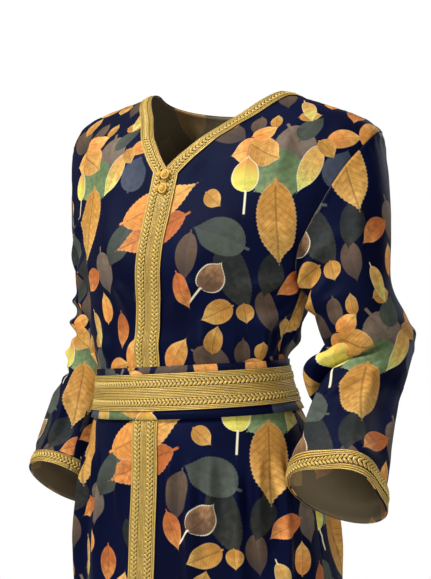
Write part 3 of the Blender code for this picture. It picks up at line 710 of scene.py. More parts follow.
# %% The worn cloth of the panels and sleeves
def panel_cloth(front):
    """The panel's worn points with their folds, drawn back a little at the side and shoulder seams."""
    angle, level = GRIDS[front]
    points, normals = body(angle, level), body_normal(angle, level)
    distance = side_distance(points)
    rise = panel_rise(front, angle, level, FLATS[front]) * soft_step(distance / SEAM_FADE)
    rise = rise + puckers(FLATS[front], distance)
    points = points + normals * rise[..., None]
    for edge, inner in ((0, 1), (-1, -2)):
        points[:, edge] += unit(points[:, inner] - points[:, edge]) * SEAM_GAP / 2
    return points


def sleeve_cloth(side):
    """The sleeve's worn points with their folds. Its first ring keeps to the armhole."""
    points, flat = SLEEVES[side].copy(), SLEEVE_FLATS[side]
    closed = np.concatenate([points[:, -2:-1], points, points[:, 1:2]], axis=1)
    around = closed[:, 2:] - closed[:, :-2]
    normals = unit(np.cross(around, np.gradient(points, axis=0)))
    outward = points - points.mean(axis=1, keepdims=True)
    normals = normals * np.sign((outward * normals).sum())
    # Softened normals keep the sides of a fold from crossing inside the elbow.
    soften(normals, NORMAL_ROUNDS)
    normals = unit(normals)
    table = LEFT_SLEEVE_CREASES if side > 0 else RIGHT_SLEEVE_CREASES
    down = run(points)
    free = soft_step(down / SEAM_FADE) * soft_step((down[-1:] - down - CUFF_STIFF) / SEAM_FADE)
    seam = side_distance(points)
    rise = (creases(table, flat) + ripples(flat, 2 if side > 0 else 3)) * soft_step(seam / UNDERARM_FADE)
    around_cap = np.stack([flat[..., 1], flat[..., 0]], axis=-1)
    lap = creases(LEFT_SLEEVE_LAPS, flat) if side > 0 else np.zeros_like(rise)
    ways = unit(np.gradient(points, axis=0))
    rise = rise * free + puckers(around_cap, down)
    points = points + normals * rise[..., None] + ways * lap[..., None]
    away = unit(points[1] - points[0])
    points[0] += away * SEAM_GAP
    return points


PANEL_POINTS = {front: panel_cloth(front) for front in (True, False)}
SLEEVE_POINTS = {side: sleeve_cloth(side) for side in (1, -1)}

# %% [markdown]
# ### From points to cloth
# Each panel starts as Blender's flat grid, whose rows and columns already match the worn points, so its
# vertices only have to move. Solidify gives it the thickness of crepe and puts the dull reverse of the
# cloth on the inside. The flat pattern becomes the UV map, in metres, so the print keeps its size.


# %% Make a sheet of cloth from a grid of points
def add_to_scene(name, data):
    made = bpy.data.objects.new(name, data)
    bpy.context.scene.collection.objects.link(made)
    return made


def add_object(name, mesh):
    """A piece of the kaftan, which rides on its one body."""
    piece = add_to_scene(name, mesh)
    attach(piece, "root")
    return piece


def to_mesh(name, bm):
    """A finished mesh, shaded smooth."""
    for face in bm.faces:
        face.smooth = True
    mesh = bpy.data.meshes.new(name)
    bm.to_mesh(mesh)
    bm.free()
    return mesh


def grid_mesh(name, points, flat, closed=False):
    """A smooth mesh through a grid of points, facing out, with its flat places as a UV map."""
    rows, columns = points.shape[:2]
    mesh = bpy.data.meshes.new(name)
    bm = bmesh.new()
    bmesh.ops.create_grid(bm, x_segments=columns - 1, y_segments=rows - 1, size=1.0)
    bm.to_mesh(mesh)
    mesh.vertices.foreach_set("co", points.astype(np.float32).ravel())
    corner = np.empty(len(mesh.loops), dtype=np.int32)
    mesh.loops.foreach_get("vertex_index", corner)
    places = flat.reshape(-1, 2)[corner]
    mesh.uv_layers.new(name="Flat").uv.foreach_set("vector", places.astype(np.float32).ravel())
    bm.clear()
    bm.from_mesh(mesh)
    if closed:
        bmesh.ops.remove_doubles(bm, verts=bm.verts, dist=1e-6)
    bm.normal_update()
    middle = points.reshape(-1, 3).mean(axis=0)
    facing = sum((face.calc_center_median() - Vector(middle)).xy.dot(face.normal.xy) for face in bm.faces)
    if facing < 0:
        bmesh.ops.reverse_faces(bm, faces=bm.faces)
    for face in bm.faces:
        face.smooth = True
    bm.to_mesh(mesh)
    bm.free()
    return mesh


def thicken(piece, thickness, inner_slot=0):
    wall = piece.modifiers.new("Thickness", "SOLIDIFY")
    wall.thickness = thickness
    wall.offset = -1.0
    wall.material_offset = inner_slot

# %% [markdown]
# ## The leaf print
# The cloth is navy crepe with loose autumn leaves, in a repeat a little under thirty centimetres each
# way. A tiled picture could carry it, but formula leaves stay sharp at any size. The chart below places
# the leaves of one repeat, and each face of the cloth is told which leaves cross it: for every corner,
# how far along the leaf it lies, how far across, and which kind of leaf it is.

# %% Kinds of leaf: two tints, and the strength of veins, pale rim, stem and roundness
TILE = 0.28
# name, tint and tip in sRGB, then veins, rim, stem and point (0 round, 1 slim)
KINDS = (
    ("ochre", (196, 140, 64), (214, 166, 88), 1.00, 0.10, 0.06, 0.62),
    ("orange", (224, 148, 72), (234, 178, 96), 0.70, 0.10, 0.06, 0.70),
    ("rust", (186, 104, 52), (220, 146, 78), 0.80, 0.06, 0.08, 0.80),
    ("sage", (104, 124, 84), (128, 146, 100), 0.15, 0.00, 0.10, 0.50),
    ("lime", (238, 226, 104), (226, 150, 70), 0.35, 0.90, 0.60, 0.58),
    ("taupe", (118, 102, 86), (98, 88, 80), 0.25, 0.00, 0.16, 0.60),
    ("grey_green", (78, 84, 74), (66, 70, 62), 0.15, 0.00, 0.10, 0.62),
    ("slate", (44, 46, 42), (56, 56, 48), 0.00, 0.00, 0.04, 0.78),
    ("grey", (74, 80, 92), (62, 70, 84), 0.00, 0.00, 0.06, 0.55),
    ("rimmed", (112, 84, 62), (164, 124, 84), 0.60, 1.00, 0.55, 0.60),
    ("umber", (96, 78, 62), (74, 62, 56), 0.30, 0.00, 0.08, 0.75),
    ("gold_green", (222, 172, 92), (222, 222, 118), 0.45, 0.55, 0.12, 0.72),
)
KIND_INDEX = {kind[0]: place for place, kind in enumerate(KINDS)}
# Lower leaves first. across, up, length and width in cm, the way the tip points in degrees, and kind
LEAVES = (
    (14.5, -28.5, 5.0, 2.5, -80, "umber"), (12.0, -34.0, 4.0, 2.0, -85, "umber"),
    (5.0, -22.5, 6.0, 3.0, -95, "umber"), (8.5, -35.0, 6.0, 3.5, -30, "umber"),
    (-7.5, -24.5, 5.5, 3.0, -75, "taupe"), (17.5, -9.5, 6.5, 5.0, -60, "taupe"),
    (14.5, -24.5, 5.5, 3.0, -100, "slate"), (11.0, -25.0, 9.5, 4.0, -70, "slate"),
    (8.5, -20.0, 7.0, 4.5, 160, "grey_green"), (-5.5, -11.5, 5.0, 4.5, 80, "grey"),
    (-9.5, -34.5, 4.5, 2.5, 60, "grey_green"), (-1.0, -28.0, 5.0, 3.0, -60, "slate"),
    (22.5, -21.0, 6.0, 3.5, -110, "grey_green"), (15.0, -13.0, 6.5, 5.5, -145, "sage"),
    (-1.0, -19.5, 11.0, 4.3, 205, "rust"), (0.0, -15.5, 11.9, 4.7, 25, "orange"),
    (17.5, -25.5, 4.4, 2.6, 215, "rust"), (11.0, -10.0, 4.0, 3.4, 190, "orange"),
    (13.5, -10.0, 4.8, 3.9, -30, "ochre"), (13.0, -7.0, 3.3, 2.3, 30, "orange"),
    (11.5, -12.5, 4.5, 3.5, 90, "lime"), (18.5, -12.0, 6.2, 2.6, -110, "gold_green"),
    (15.5, -18.5, 9.7, 4.7, -85, "ochre"), (22.5, -8.0, 4.4, 2.4, 20, "orange"),
    (20.5, -9.5, 2.8, 2.0, -45, "ochre"), (18.0, -4.5, 2.8, 2.0, 10, "ochre"),
    (7.5, -15.5, 3.0, 2.2, -40, "ochre"), (8.0, -24.5, 4.2, 3.4, 50, "rimmed"),
    (4.5, -26.5, 4.8, 2.2, -70, "rust"), (8.5, -29.0, 4.2, 2.9, 205, "ochre"),
    (12.0, -29.0, 2.4, 2.2, -80, "ochre"), (8.5, -32.0, 3.4, 2.2, 80, "ochre"),
    (4.0, -34.0, 4.8, 2.8, 65, "orange"), (14.0, -33.0, 2.6, 1.5, 95, "ochre"),
    (-8.0, -28.5, 4.0, 2.2, 95, "orange"), (-5.0, -31.5, 4.6, 2.4, -88, "rust"),
    (-2.5, -34.0, 4.9, 2.9, 80, "orange"), (-10.5, -31.5, 4.8, 1.7, -70, "gold_green"),
)
LEAF_SLOTS = 6
LEAF_SEED = 7
BOX_MARGIN = 0.006
WIDEST = 1.2
STEM_PLACE = 5
NO_LEAF = (-9.0, 9.0, 0.5)
leaf_tones = np.random.default_rng(LEAF_SEED).uniform(0.08, 0.92, len(LEAVES))
print(len(LEAVES), "leaves in a repeat of", TILE, "m")


# %% Tell each face of a cloth which leaves cross it
def print_leaves(mesh, shift):
    """Stores, for each corner, its place on up to LEAF_SLOTS leaves: along, across, and kind plus tone."""
    corners = np.empty(len(mesh.loops) * 2, dtype=np.float32)
    mesh.uv_layers["Flat"].uv.foreach_get("vector", corners)
    corners = corners.reshape(-1, 2) + np.array(shift)
    first, count = (np.empty(len(mesh.polygons), dtype=np.int32) for _ in range(2))
    mesh.polygons.foreach_get("loop_start", first)
    mesh.polygons.foreach_get("loop_total", count)
    owner = np.repeat(np.arange(len(first)), count)
    centre = np.add.reduceat(corners, first, axis=0) / count[:, None]
    slots = np.tile(np.array(NO_LEAF, dtype=np.float32), (LEAF_SLOTS, len(corners), 1))
    used = np.zeros(len(first), dtype=int)
    low, high = centre.min(axis=0), centre.max(axis=0)
    for row, (across, up, length, width, turn, kind) in enumerate(LEAVES):
        length, half = length / 100, width / 200
        stem = KINDS[KIND_INDEX[kind]][STEM_PLACE]
        way = np.array([math.cos(math.radians(turn)), math.sin(math.radians(turn))])
        side = np.array([-way[1], way[0]])
        home = np.array([across, up]) / 100 - way * length / 2
        start, end = ((low - home) // TILE).astype(int), ((high - home) // TILE).astype(int) + 2
        for step_u in range(start[0], end[0]):
            for step_v in range(start[1], end[1]):
                base = home + np.array([step_u, step_v]) * TILE
                along, off = (centre - base) @ way, (centre - base) @ side
                near = (along > -stem * length - BOX_MARGIN) & (along < length + BOX_MARGIN)
                near &= np.abs(off) < half * WIDEST + BOX_MARGIN
                full = near & (used == LEAF_SLOTS)
                if full.any():
                    moved = full[owner]
                    slots[:-1, moved] = slots[1:, moved]
                    used[full] -= 1
                face = np.flatnonzero(near)
                picked = np.flatnonzero(near[owner])
                gap = corners[picked] - base
                tone = KIND_INDEX[kind] + leaf_tones[row]
                place = [gap @ way / length, gap @ side / half, np.full(len(picked), tone)]
                slots[used[owner[picked]], picked] = np.stack(place, axis=1)
                used[face] += 1
    for slot in range(LEAF_SLOTS):
        layer = mesh.attributes.new(f"leaf_{slot}", "FLOAT_VECTOR", "CORNER")
        layer.data.foreach_set("vector", slots[slot].ravel())


# %% [markdown]
# ### Nodes that draw a leaf
# One node group draws one leaf over whatever lies under it: an outline that swells and closes, a midrib
# with side veins, a pale rim, a stem, and a slow change of tint from base to tip. The printed side and
# the dull reverse both use it, once for each leaf that can cross a face.


# %% Small helpers for building node groups
def linear(*srgb):
    """A colour given in screen values, as the light that Blender counts with, and fully opaque."""
    return *((c / 255 / 12.92) if c <= 10 else ((c / 255 + 0.055) / 1.055) ** 2.4 for c in srgb), 1


def feed(tree, socket, value):
    if isinstance(value, bpy.types.NodeSocket):
        tree.links.new(value, socket)
    else:
        socket.default_value = value


def calc(tree, operation, *values):
    """A Math node, as one step of a formula."""
    node = tree.nodes.new("ShaderNodeMath")
    node.operation = operation
    for socket, value in zip(node.inputs, values):
        feed(tree, socket, value)
    return node.outputs[0]


def maths(tree, *operations):
    """Math nodes as short functions, so that a formula stays readable."""
    return [partial(calc, tree, operation) for operation in operations]


def ease(tree, value, low, high, to_low=0.0, to_high=1.0):
    """A smooth step from to_low to to_high as the value passes from low to high."""
    node = tree.nodes.new("ShaderNodeMapRange")
    node.interpolation_type = "SMOOTHSTEP"
    for name, given in (("Value", value), ("From Min", low), ("From Max", high), ("To Min", to_low),
                        ("To Max", to_high)):
        feed(tree, node.inputs[name], given)
    return node.outputs[0]


def blend(tree, share, under, over, mode="MIX"):
    node = tree.nodes.new("ShaderNodeMix")
    node.data_type = "RGBA"
    node.blend_type = mode
    for socket, value in ((0, share), (6, under), (7, over)):
        feed(tree, node.inputs[socket], value)
    return node.outputs[2]


def shaded(tree, colour, shade):
    """A colour made lighter or darker by a plain number."""
    grey = tree.nodes.new("ShaderNodeCombineColor")
    for socket in grey.inputs[:3]:
        feed(tree, socket, shade)
    return blend(tree, 1.0, colour, grey.outputs[0], "MULTIPLY")


def split(tree, vector):
    node = tree.nodes.new("ShaderNodeSeparateXYZ")
    feed(tree, node.inputs[0], vector)
    return node.outputs


def read(tree, name, output="Vector"):
    node = tree.nodes.new("ShaderNodeAttribute")
    node.attribute_name = name
    return node.outputs[output]


def noise(tree, place, scale, detail=2.0):
    node = tree.nodes.new("ShaderNodeTexNoise")
    feed(tree, node.inputs["Vector"], place)
    node.inputs["Scale"].default_value = scale
    node.inputs["Detail"].default_value = detail
    return node.outputs["Fac"]


def new_group(name, inputs, outputs):
    """An empty node group with its sockets, and its input and output nodes."""
    group = bpy.data.node_groups.new(name, "ShaderNodeTree")
    for direction, sockets in (("INPUT", inputs), ("OUTPUT", outputs)):
        for socket, kind in sockets:
            group.interface.new_socket(socket, in_out=direction, socket_type="NodeSocket" + kind)
    return group, group.nodes.new("NodeGroupInput").outputs, group.nodes.new("NodeGroupOutput").inputs


def use(tree, group, **values):
    node = tree.nodes.new("ShaderNodeGroup")
    node.node_tree = group
    for name, value in values.items():
        feed(tree, node.inputs[name], value)
    return node.outputs


# %% The leaf group
def kind_ramp(tree, factor, rows):
    """A colour ramp with one flat step for each kind of leaf."""
    node = tree.nodes.new("ShaderNodeValToRGB")
    node.color_ramp.interpolation = "CONSTANT"
    steps = node.color_ramp.elements
    while len(steps) < len(rows):
        steps.new(1.0)
    for place, colour in enumerate(rows):
        steps[place].position = place / len(rows)
        steps[place].color = colour
    feed(tree, node.inputs[0], factor)
    return node.outputs


# A leaf's lengths are shares of its own, and its widths shares of its half width.
BELLY = 0.74
TIP_START, TIP_DRAW = 0.62, 0.85
TEETH_TURNS, TEETH_DEPTH = 132.0, 0.022
LEAF_BEND = 0.55
EDGE_INSET, EDGE_SOFT = 0.03, 0.03
MIDRIB = (0.02, 0.075)
VEIN_PAIRS, VEIN_SWEEP, VEIN_WIDTH, VEIN_INSET = 12.0, 0.20, (0.02, 0.12), (0.03, 0.20)
SIDE_VEIN_SHARE, VEIN_DARK = 0.75, 0.42
HALVES, MOTTLED, TONED = (0.90, 1.04), (0.84, 1.10), (0.88, 1.08)
TINT_DRIFT, TINT_TURN = 0.7, (0.25, 0.95)
RIM_WIDTH = (0.03, 0.10)
STEM_WIDTH, STEM_SOFT, STEM_TOP = (0.045, 0.10), 0.03, (0.02, 0.06)
PALE = linear(236, 226, 196)


def leaf_group():
    """One leaf over whatever lies under it."""
    group, given, out = new_group(
        "Leaf", [("Under", "Color"), ("Place", "Vector"), ("Mottle", "Float")], [("Color", "Color")])
    add, less, times, divide, power, least, most = maths(
        group, "ADD", "SUBTRACT", "MULTIPLY", "DIVIDE", "POWER", "MINIMUM", "MAXIMUM")
    wave, size, floor, rest, fold = maths(group, "SINE", "ABSOLUTE", "FLOOR", "FRACT", "PINGPONG")
    along, across, kind = split(group, given["Place"])
    tone = rest(kind)
    factor = divide(add(floor(kind), 0.5), len(KINDS))
    tint, tip = (kind_ramp(group, factor, [linear(*row[k]) for row in KINDS])["Color"] for k in (1, 2))
    traits = kind_ramp(group, factor, [row[3:7] for row in KINDS])
    veins, rim, stem = split(group, traits["Color"])
    # The outline: a sine whose belly lies nearer the stem, made round or slim by its power. A higher
    # power towards the tip draws it out to a point.
    inside = least(most(along, 0.0), 1.0)
    swell = wave(times(power(inside, BELLY), math.pi))
    pointed = add(traits["Alpha"], ease(group, inside, TIP_START, 1.0, 0.0, TIP_DRAW))
    outline = power(most(swell, 0.0), pointed)
    teeth = times(wave(times(along, TEETH_TURNS)), TEETH_DEPTH)
    across = add(across, times(less(tone, 0.5), times(swell, LEAF_BEND)))
    off = size(across)
    edge = less(add(outline, teeth), add(off, EDGE_INSET))
    cover = ease(group, edge, -EDGE_SOFT, EDGE_SOFT)
    # Veins: the midrib, and side veins that sweep forward from it.
    midrib = ease(group, off, *MIDRIB, 1.0, 0.0)
    sweep = fold(times(less(along, times(off, VEIN_SWEEP)), VEIN_PAIRS), 0.5)
    side_vein = times(ease(group, sweep, *VEIN_WIDTH, 1.0, 0.0), ease(group, edge, *VEIN_INSET))
    vein = times(most(midrib, times(side_vein, SIDE_VEIN_SHARE)), veins)
    shade = ease(group, across, -0.05, 0.05, *HALVES)
    shade = times(shade, ease(group, given["Mottle"], 0.30, 0.70, *MOTTLED))
    shade = times(shade, ease(group, tone, 0.0, 1.0, *TONED))
    shade = times(shade, less(1.0, times(vein, VEIN_DARK)))
    turned = add(along, times(less(given["Mottle"], 0.5), TINT_DRIFT))
    colour = shaded(group, blend(group, ease(group, turned, *TINT_TURN), tint, tip), shade)
    colour = blend(group, times(ease(group, edge, *RIM_WIDTH, 1.0, 0.0), rim), colour, PALE)
    leaf = blend(group, cover, given["Under"], colour)
    # The stem shows below the leaf.
    reach = ease(group, add(along, stem), 0.0, STEM_SOFT)
    on_stem = times(reach, ease(group, along, *STEM_TOP, 1.0, 0.0))
    on_stem = times(on_stem, ease(group, off, *STEM_WIDTH, 1.0, 0.0))
    stem_colour = blend(group, ease(group, rim, 0.3, 0.8), tint, PALE)
    group.links.new(blend(group, on_stem, leaf, stem_colour), out["Color"])
    return group


LEAF = leaf_group()
NAVY, WORN_NAVY = linear(3, 5, 31), linear(4, 9, 42)
MOTTLE_SCALE, WEAR_SCALE = 150.0, 9.0
print("the leaf group has", len(LEAF.nodes), "nodes")


def print_group():
    """The whole print: navy ground, then the leaves of each slot over it."""
    group, given, out = new_group("Leaf print", [("Place", "Vector")], [("Color", "Color")])
    mottle = noise(group, given["Place"], MOTTLE_SCALE, 3.0)
    wear = noise(group, given["Place"], WEAR_SCALE)
    colour = blend(group, ease(group, wear, 0.3, 0.7), NAVY, WORN_NAVY)
    for slot in range(LEAF_SLOTS):
        colour = use(group, LEAF, Under=colour, Place=read(group, f"leaf_{slot}"), Mottle=mottle)["Color"]
    group.links.new(colour, out["Color"])
    return group


PRINT = print_group()

# %% [markdown]
# ### Crepe
# Crepe is a fine cloth of twisted yarn: matt, with a dry sheen where it turns away, and a grain too fine
# to see until the light rakes across it. The yarn is drawn as two crossed waves half a millimetre long,
# broken up with noise, and fed to a Bump node and to a painted shade that darkens the yarn's hollows.
# The reverse shows the print only faintly.


# %% The weave group and the cloth materials
YARN_PITCH = 0.00055
JITTER_SCALE, JITTER = 420.0, 3.2
SLUB_SCALE = 900.0


def weave_group():
    """Height of crossed yarns, which wander a little, and painted shade: darker in their hollows, lighter
    on their crowns.
    """
    group, given, out = new_group(
        "Crepe weave", [("Place", "Vector"), ("Pitch", "Float")], [("Height", "Float"), ("Shade", "Float")])
    add, times, wave, divide = maths(group, "ADD", "MULTIPLY", "SINE", "DIVIDE")
    u, v, _ = split(group, given["Place"])
    jitter = times(noise(group, given["Place"], JITTER_SCALE), JITTER)
    turns = divide(2 * math.pi, given["Pitch"])
    warp, weft = (wave(add(times(way, turns), jitter)) for way in (u, v))
    height = add(times(times(warp, weft), 0.5), noise(group, given["Place"], SLUB_SCALE))
    group.links.new(height, out["Height"])
    # Painted shade: the colour is darker in the yarn's hollows and lighter on its crowns.
    group.links.new(ease(group, height, -0.2, 1.1, 0.88, 1.06), out["Shade"])
    return group


WEAVE = weave_group()


def new_material(name):
    material = bpy.data.materials.new(name)
    material.use_nodes = True
    return material, material.node_tree, material.node_tree.nodes["Principled BSDF"].inputs


def add_bump(tree, shader, height, strength, distance):
    bump = tree.nodes.new("ShaderNodeBump")
    bump.inputs["Strength"].default_value = strength
    bump.inputs["Distance"].default_value = distance
    tree.links.new(height, bump.inputs["Height"])
    tree.links.new(bump.outputs["Normal"], shader["Normal"])


def flat_place(tree):
    node = tree.nodes.new("ShaderNodeUVMap")
    node.uv_map = "Flat"
    return node.outputs["UV"]


REVERSE_TINT, REVERSE_FADE = linear(140, 124, 92), 0.72
CREPE_ROUGHNESS = (0.54, 0.44)
CREPE_LOOKS = {
    "Sheen Weight": 0.02, "Sheen Roughness": 0.45, "Sheen Tint": (0.62, 0.70, 1.0, 1.0),
    "Specular IOR Level": 0.10, "Specular Tint": (0.42, 0.55, 1.0, 1.0),
}
# How strong a bump is, and how deep in metres.
CREPE_BUMP = (0.35, 0.00025)


def crepe_material(name, reverse):
    material, tree, shader = new_material(name)
    place = flat_place(tree)
    weave = use(tree, WEAVE, Place=place, Pitch=YARN_PITCH)
    colour = use(tree, PRINT, Place=place)["Color"]
    if reverse:
        colour = blend(tree, REVERSE_FADE, colour, REVERSE_TINT)
    # The weave's painted shade darkens the print in the yarn's hollows.
    tree.links.new(shaded(tree, colour, weave["Shade"]), shader["Base Color"])
    tree.links.new(ease(tree, weave["Height"], -0.2, 1.2, *CREPE_ROUGHNESS), shader["Roughness"])
    for socket, value in CREPE_LOOKS.items():
        shader[socket].default_value = value
    add_bump(tree, shader, weave["Height"], *CREPE_BUMP)
    return material


CREPE = crepe_material("printed_crepe_face", reverse=False)
CREPE_REVERSE = crepe_material("printed_crepe_reverse", reverse=True)

# %% [markdown]
# ## Front, back and sleeves
# The four main pieces are cut from the print, sewn at the shoulders, sides and armholes, and hang from
# the shoulders. Each one is its own sheet.


# %% Build the four pieces
def sheet_facts(points, flat):
    """The pattern piece's width and length, and its area measured on the worn cloth."""
    width, length = flat.reshape(-1, 2).max(axis=0) - flat.reshape(-1, 2).min(axis=0)
    one = np.cross(points[1:, :-1] - points[:-1, :-1], points[:-1, 1:] - points[:-1, :-1])
    two = np.cross(points[1:, :-1] - points[1:, 1:], points[:-1, 1:] - points[1:, 1:])
    area = (np.linalg.norm(one, axis=-1).sum() + np.linalg.norm(two, axis=-1).sum()) / 2
    return float(width), float(length), float(area)


def add_cloth(name, node, points, flat, mirror, shift, closed=False):
    """One printed piece of the garment, standing for its CAD node."""
    facing = flat * np.array([-1.0 if mirror else 1.0, 1.0])
    mesh = grid_mesh(name, points, facing, closed)
    print_leaves(mesh, shift)
    for material in (CREPE, CREPE_REVERSE):
        mesh.materials.append(material)
    piece = add_object(name, mesh)
    thicken(piece, CLOTH, inner_slot=1)
    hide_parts(node)


# Where the repeat falls on each piece differs, as it does when pieces are cut from one length.
add_cloth("kaftan_front", "front", PANEL_POINTS[True], FLATS[True], False, (0.0, 0.0))
add_cloth("kaftan_back", "back", PANEL_POINTS[False], FLATS[False], True, (0.07, 0.11))
for side, word, shift in ((1, "left", (0.21, 0.145)), (-1, "right", (0.03, -0.10))):
    add_cloth(f"sleeve_{word}_cloth", f"sleeve_{word}", SLEEVE_POINTS[side], SLEEVE_FLATS[side], side > 0,
              shift, closed=True)

# %% [markdown]
# ## Ribbons of gold braid
# The braid is a woven ribbon, sewn on in one length: up the front edge, mitred at the foot of the neck,
# and round to the nape. Its relief is what catches the light, so it is made as geometry: a strip with
# its fine cords in relief, and over it a plait of separate stitches. Everything on a ribbon is placed
# by two lengths, how far along it and how far across, so one set of tools dresses front, belt and cuffs.


# %% A ribbon is a fine grid of places on the cloth, read by two lengths
class Ribbon:
    """Points and outward normals on a grid, with the length along its rows and across its columns."""

    def __init__(self, points, normals, across):
        self.points, self.normals, self.across = points, unit(normals), np.asarray(across)
        self.along = run(points[:, len(across) // 2])
        self.length, self.width = float(self.along[-1]), float(self.across[-1])

    def at(self, along, across):
        """Points, normals and forward directions at lengths along and across the ribbon."""
        along, across = np.broadcast_arrays(np.asarray(along, float), np.asarray(across, float))
        row = np.interp(along, self.along, np.arange(len(self.along)))
        column = np.interp(across, self.across, np.arange(len(self.across)))
        first = np.minimum(row.astype(int), len(self.along) - 2)
        left = np.minimum(column.astype(int), len(self.across) - 2)
        down, over = (row - first)[..., None], (column - left)[..., None]

        def mixed(grid):
            near = grid[first, left] * (1 - over) + grid[first, left + 1] * over
            far = grid[first + 1, left] * (1 - over) + grid[first + 1, left + 1] * over
            return near, far, near * (1 - down) + far * down

        near, far, place = mixed(self.points)
        return place, unit(mixed(self.normals)[2]), unit(far - near)


# %% The front braid's path: up the centre line, round the mitre, beside the neck edge to the nape
LINES = np.linspace(0, BRAID_WIDTH, 7)
CENTRE_STEP = 0.004
NECK_PLACES = 110
SEAM_PLACES = 16
MITRE_FADE = 0.022
CENTRE_COLUMN = PANEL_COLUMNS // 2


def centre_angle(distance, level):
    width = smooth(BODY, HALF_WIDTH, level) + skirt_folds(math.pi / 2, level)
    return np.arccos(distance / width)


def neck_line(front, distance):
    """The line beside the neck edge at a distance, as angle, level and the length of the edge so far."""
    edge_angle, edge_level = neck_curve(front)
    angle, level = edge_angle.copy(), edge_level.copy()
    if distance > 0:
        angle, level = offset_curve(edge_angle, edge_level, front, distance)
        level[-SEAM_PLACES:] = level[-SEAM_PLACES]
    # The last stretch runs straight on to the shoulder seam, so that both halves meet there.
    angle[-SEAM_PLACES:] = np.linspace(angle[-SEAM_PLACES], 0, SEAM_PLACES)
    return angle, level, run(body((1 if front else -1) * edge_angle, edge_level))


def mitre(distance, angle, level, length):
    """Where a neck line crosses the line that runs up the front at the same distance."""
    across = smooth(BODY, HALF_WIDTH, level) * np.cos(angle) - distance
    row = max(np.flatnonzero(across > 0 if distance > 0 else across >= -1e-9)[0], 1)
    share = across[row - 1] / (across[row - 1] - across[row]) if across[row] != across[row - 1] else 0.0
    share = min(max(share, 0.0), 1.0)
    return [values[row - 1] * (1 - share) + values[row] * share for values in (level, length)]


def up_the_front(side, distance, level):
    """Points and normals up the centre front, which ride on the folds of the cloth."""
    height = np.interp(level, GRIDS[True][1][:, CENTRE_COLUMN], FLATS[True][:, CENTRE_COLUMN, 1])
    flat = np.stack([np.full(len(level), side * distance), height], axis=-1)
    angle = centre_angle(distance, level)
    turn = angle if side > 0 else math.pi - angle
    normals = body_normal(turn, level)
    return body(turn, level) + normals * panel_rise(True, turn, level, flat)[:, None], normals


def round_the_neck(side, front, line, meet, start, middle_start):
    """Points and normals beside one half of the neck edge, the front's or the back's."""
    angle, level, length = line
    level = level + (meet - level[-1]) * np.clip(np.cos(angle), 0, 1) ** 3
    at = np.linspace(middle_start, length[-1], NECK_PLACES)
    own = at + (start - middle_start) * np.exp(-(at - middle_start) / MITRE_FADE)
    angle, level = np.interp(own, length, angle), np.interp(own, length, level)
    if not front:
        angle, level = angle[::-1], level[::-1]
    angle = angle if side > 0 else math.pi - angle
    turn = (angle if front else -angle)[1:]
    return body(turn, level[1:]), body_normal(turn, level[1:])


def front_ribbon(side):
    """The ribbon of one front edge, from the hem to the nape."""
    lines = {front: [neck_line(front, distance) for distance in LINES] for front in (True, False)}
    mitres = [mitre(distance, *line) for distance, line in zip(LINES, lines[True])]
    napes = [float(np.interp(-math.pi / 2, -angle, length)) for angle, _, length in lines[False]]
    middle = len(LINES) // 2
    middle_level, middle_length = mitres[middle]
    levels = np.linspace(HEM_LEVEL, middle_level, int((middle_level - HEM_LEVEL) / CENTRE_STEP))
    columns = []
    for distance, fore, aft, (level, length), nape in zip(LINES, *lines.values(), mitres, napes):
        # The centre part, stretched a little near the mitre so that it ends on it.
        own = levels + (level - middle_level) * np.exp((levels - middle_level) / MITRE_FADE)
        own[-1] = level
        meet = (fore[1][-1] + aft[1][-1]) / 2
        parts = (up_the_front(side, distance, own),
                 round_the_neck(side, True, fore, meet, length, middle_length),
                 round_the_neck(side, False, aft, meet, nape, napes[middle]))
        columns.append([np.concatenate(part) for part in zip(*parts)])
    points, normals = (np.stack(grid, axis=1) for grid in zip(*columns))
    return Ribbon(points, normals, LINES)


FRONT_RIBBONS = {side: front_ribbon(side) for side in (1, -1)}
print("each front braid is", round(FRONT_RIBBONS[1].length, 3), "m long")

# %% The belt's and the cuffs' paths
BELT_LIFT, BELT_THICK = 0.0024, 0.0016
BELT_STRIPS = {"lower": (-0.3945, -0.3725), "upper": (-0.3505, -0.3725)}
BELT_EDGES = (-0.404, -0.342)
BELT_PLACES, BELT_COLUMNS, BELT_FINE = 420, 9, 2000
BACK_PARTING = 0.0010
REST_GAP = 0.0003
BRAID_THICK = 0.0015


def belt_ribbon(start_level, end_level, lift):
    """A ribbon round the waist from the centre back, over the wearer's left, to the centre back."""
    levels = np.linspace(start_level, end_level, BELT_COLUMNS)
    angle = np.linspace(-math.pi / 2, 1.5 * math.pi, BELT_FINE)
    length = run(body(angle, (start_level + end_level) / 2))
    even = np.linspace(BACK_PARTING / 2, length[-1] - BACK_PARTING / 2, BELT_PLACES)
    angle, level = np.meshgrid(np.interp(even, length, angle), levels, indexing="ij")
    normals = body_normal(angle, level)
    points = body(angle, level) + normals * lift
    return Ribbon(points, normals, run(points[BELT_PLACES // 2]))


def cuff_ribbon(side):
    """The ribbon round a cuff, from the underarm seam round, measured from the cuff's edge."""
    points = SLEEVE_POINTS[side][: -CUFF_ROWS - 2 : -1].transpose(1, 0, 2)
    along = np.gradient(points, axis=0)
    along[0] = along[-1] = (points[1] - points[-2]) / 2
    normals = unit(np.cross(np.gradient(points, axis=1), along))
    outward = points - points.mean(axis=0, keepdims=True)
    normals = normals * np.sign((normals * outward).sum())
    across = np.linalg.norm(np.diff(points, axis=1), axis=-1).mean(axis=0)
    return Ribbon(points, normals, np.concatenate([[0], np.cumsum(across)]))


CUFF_RIBBONS = {side: cuff_ribbon(side) for side in (1, -1)}
for side, ribbon in CUFF_RIBBONS.items():
    print("cuff braid:", round(ribbon.length, 3), "m round,", round(ribbon.width, 4), "m wide")

# %% [markdown]
# ### Cords and plait
# Fine couched cords run along both sides of the ribbon, and between them lies a flat plait whose
# stitches meet in a row of arrowheads. The cords could be separate tubes, but as relief on one strip they
# keep together at the mitre. The plait's stitches are separate, because each throws its own highlight.

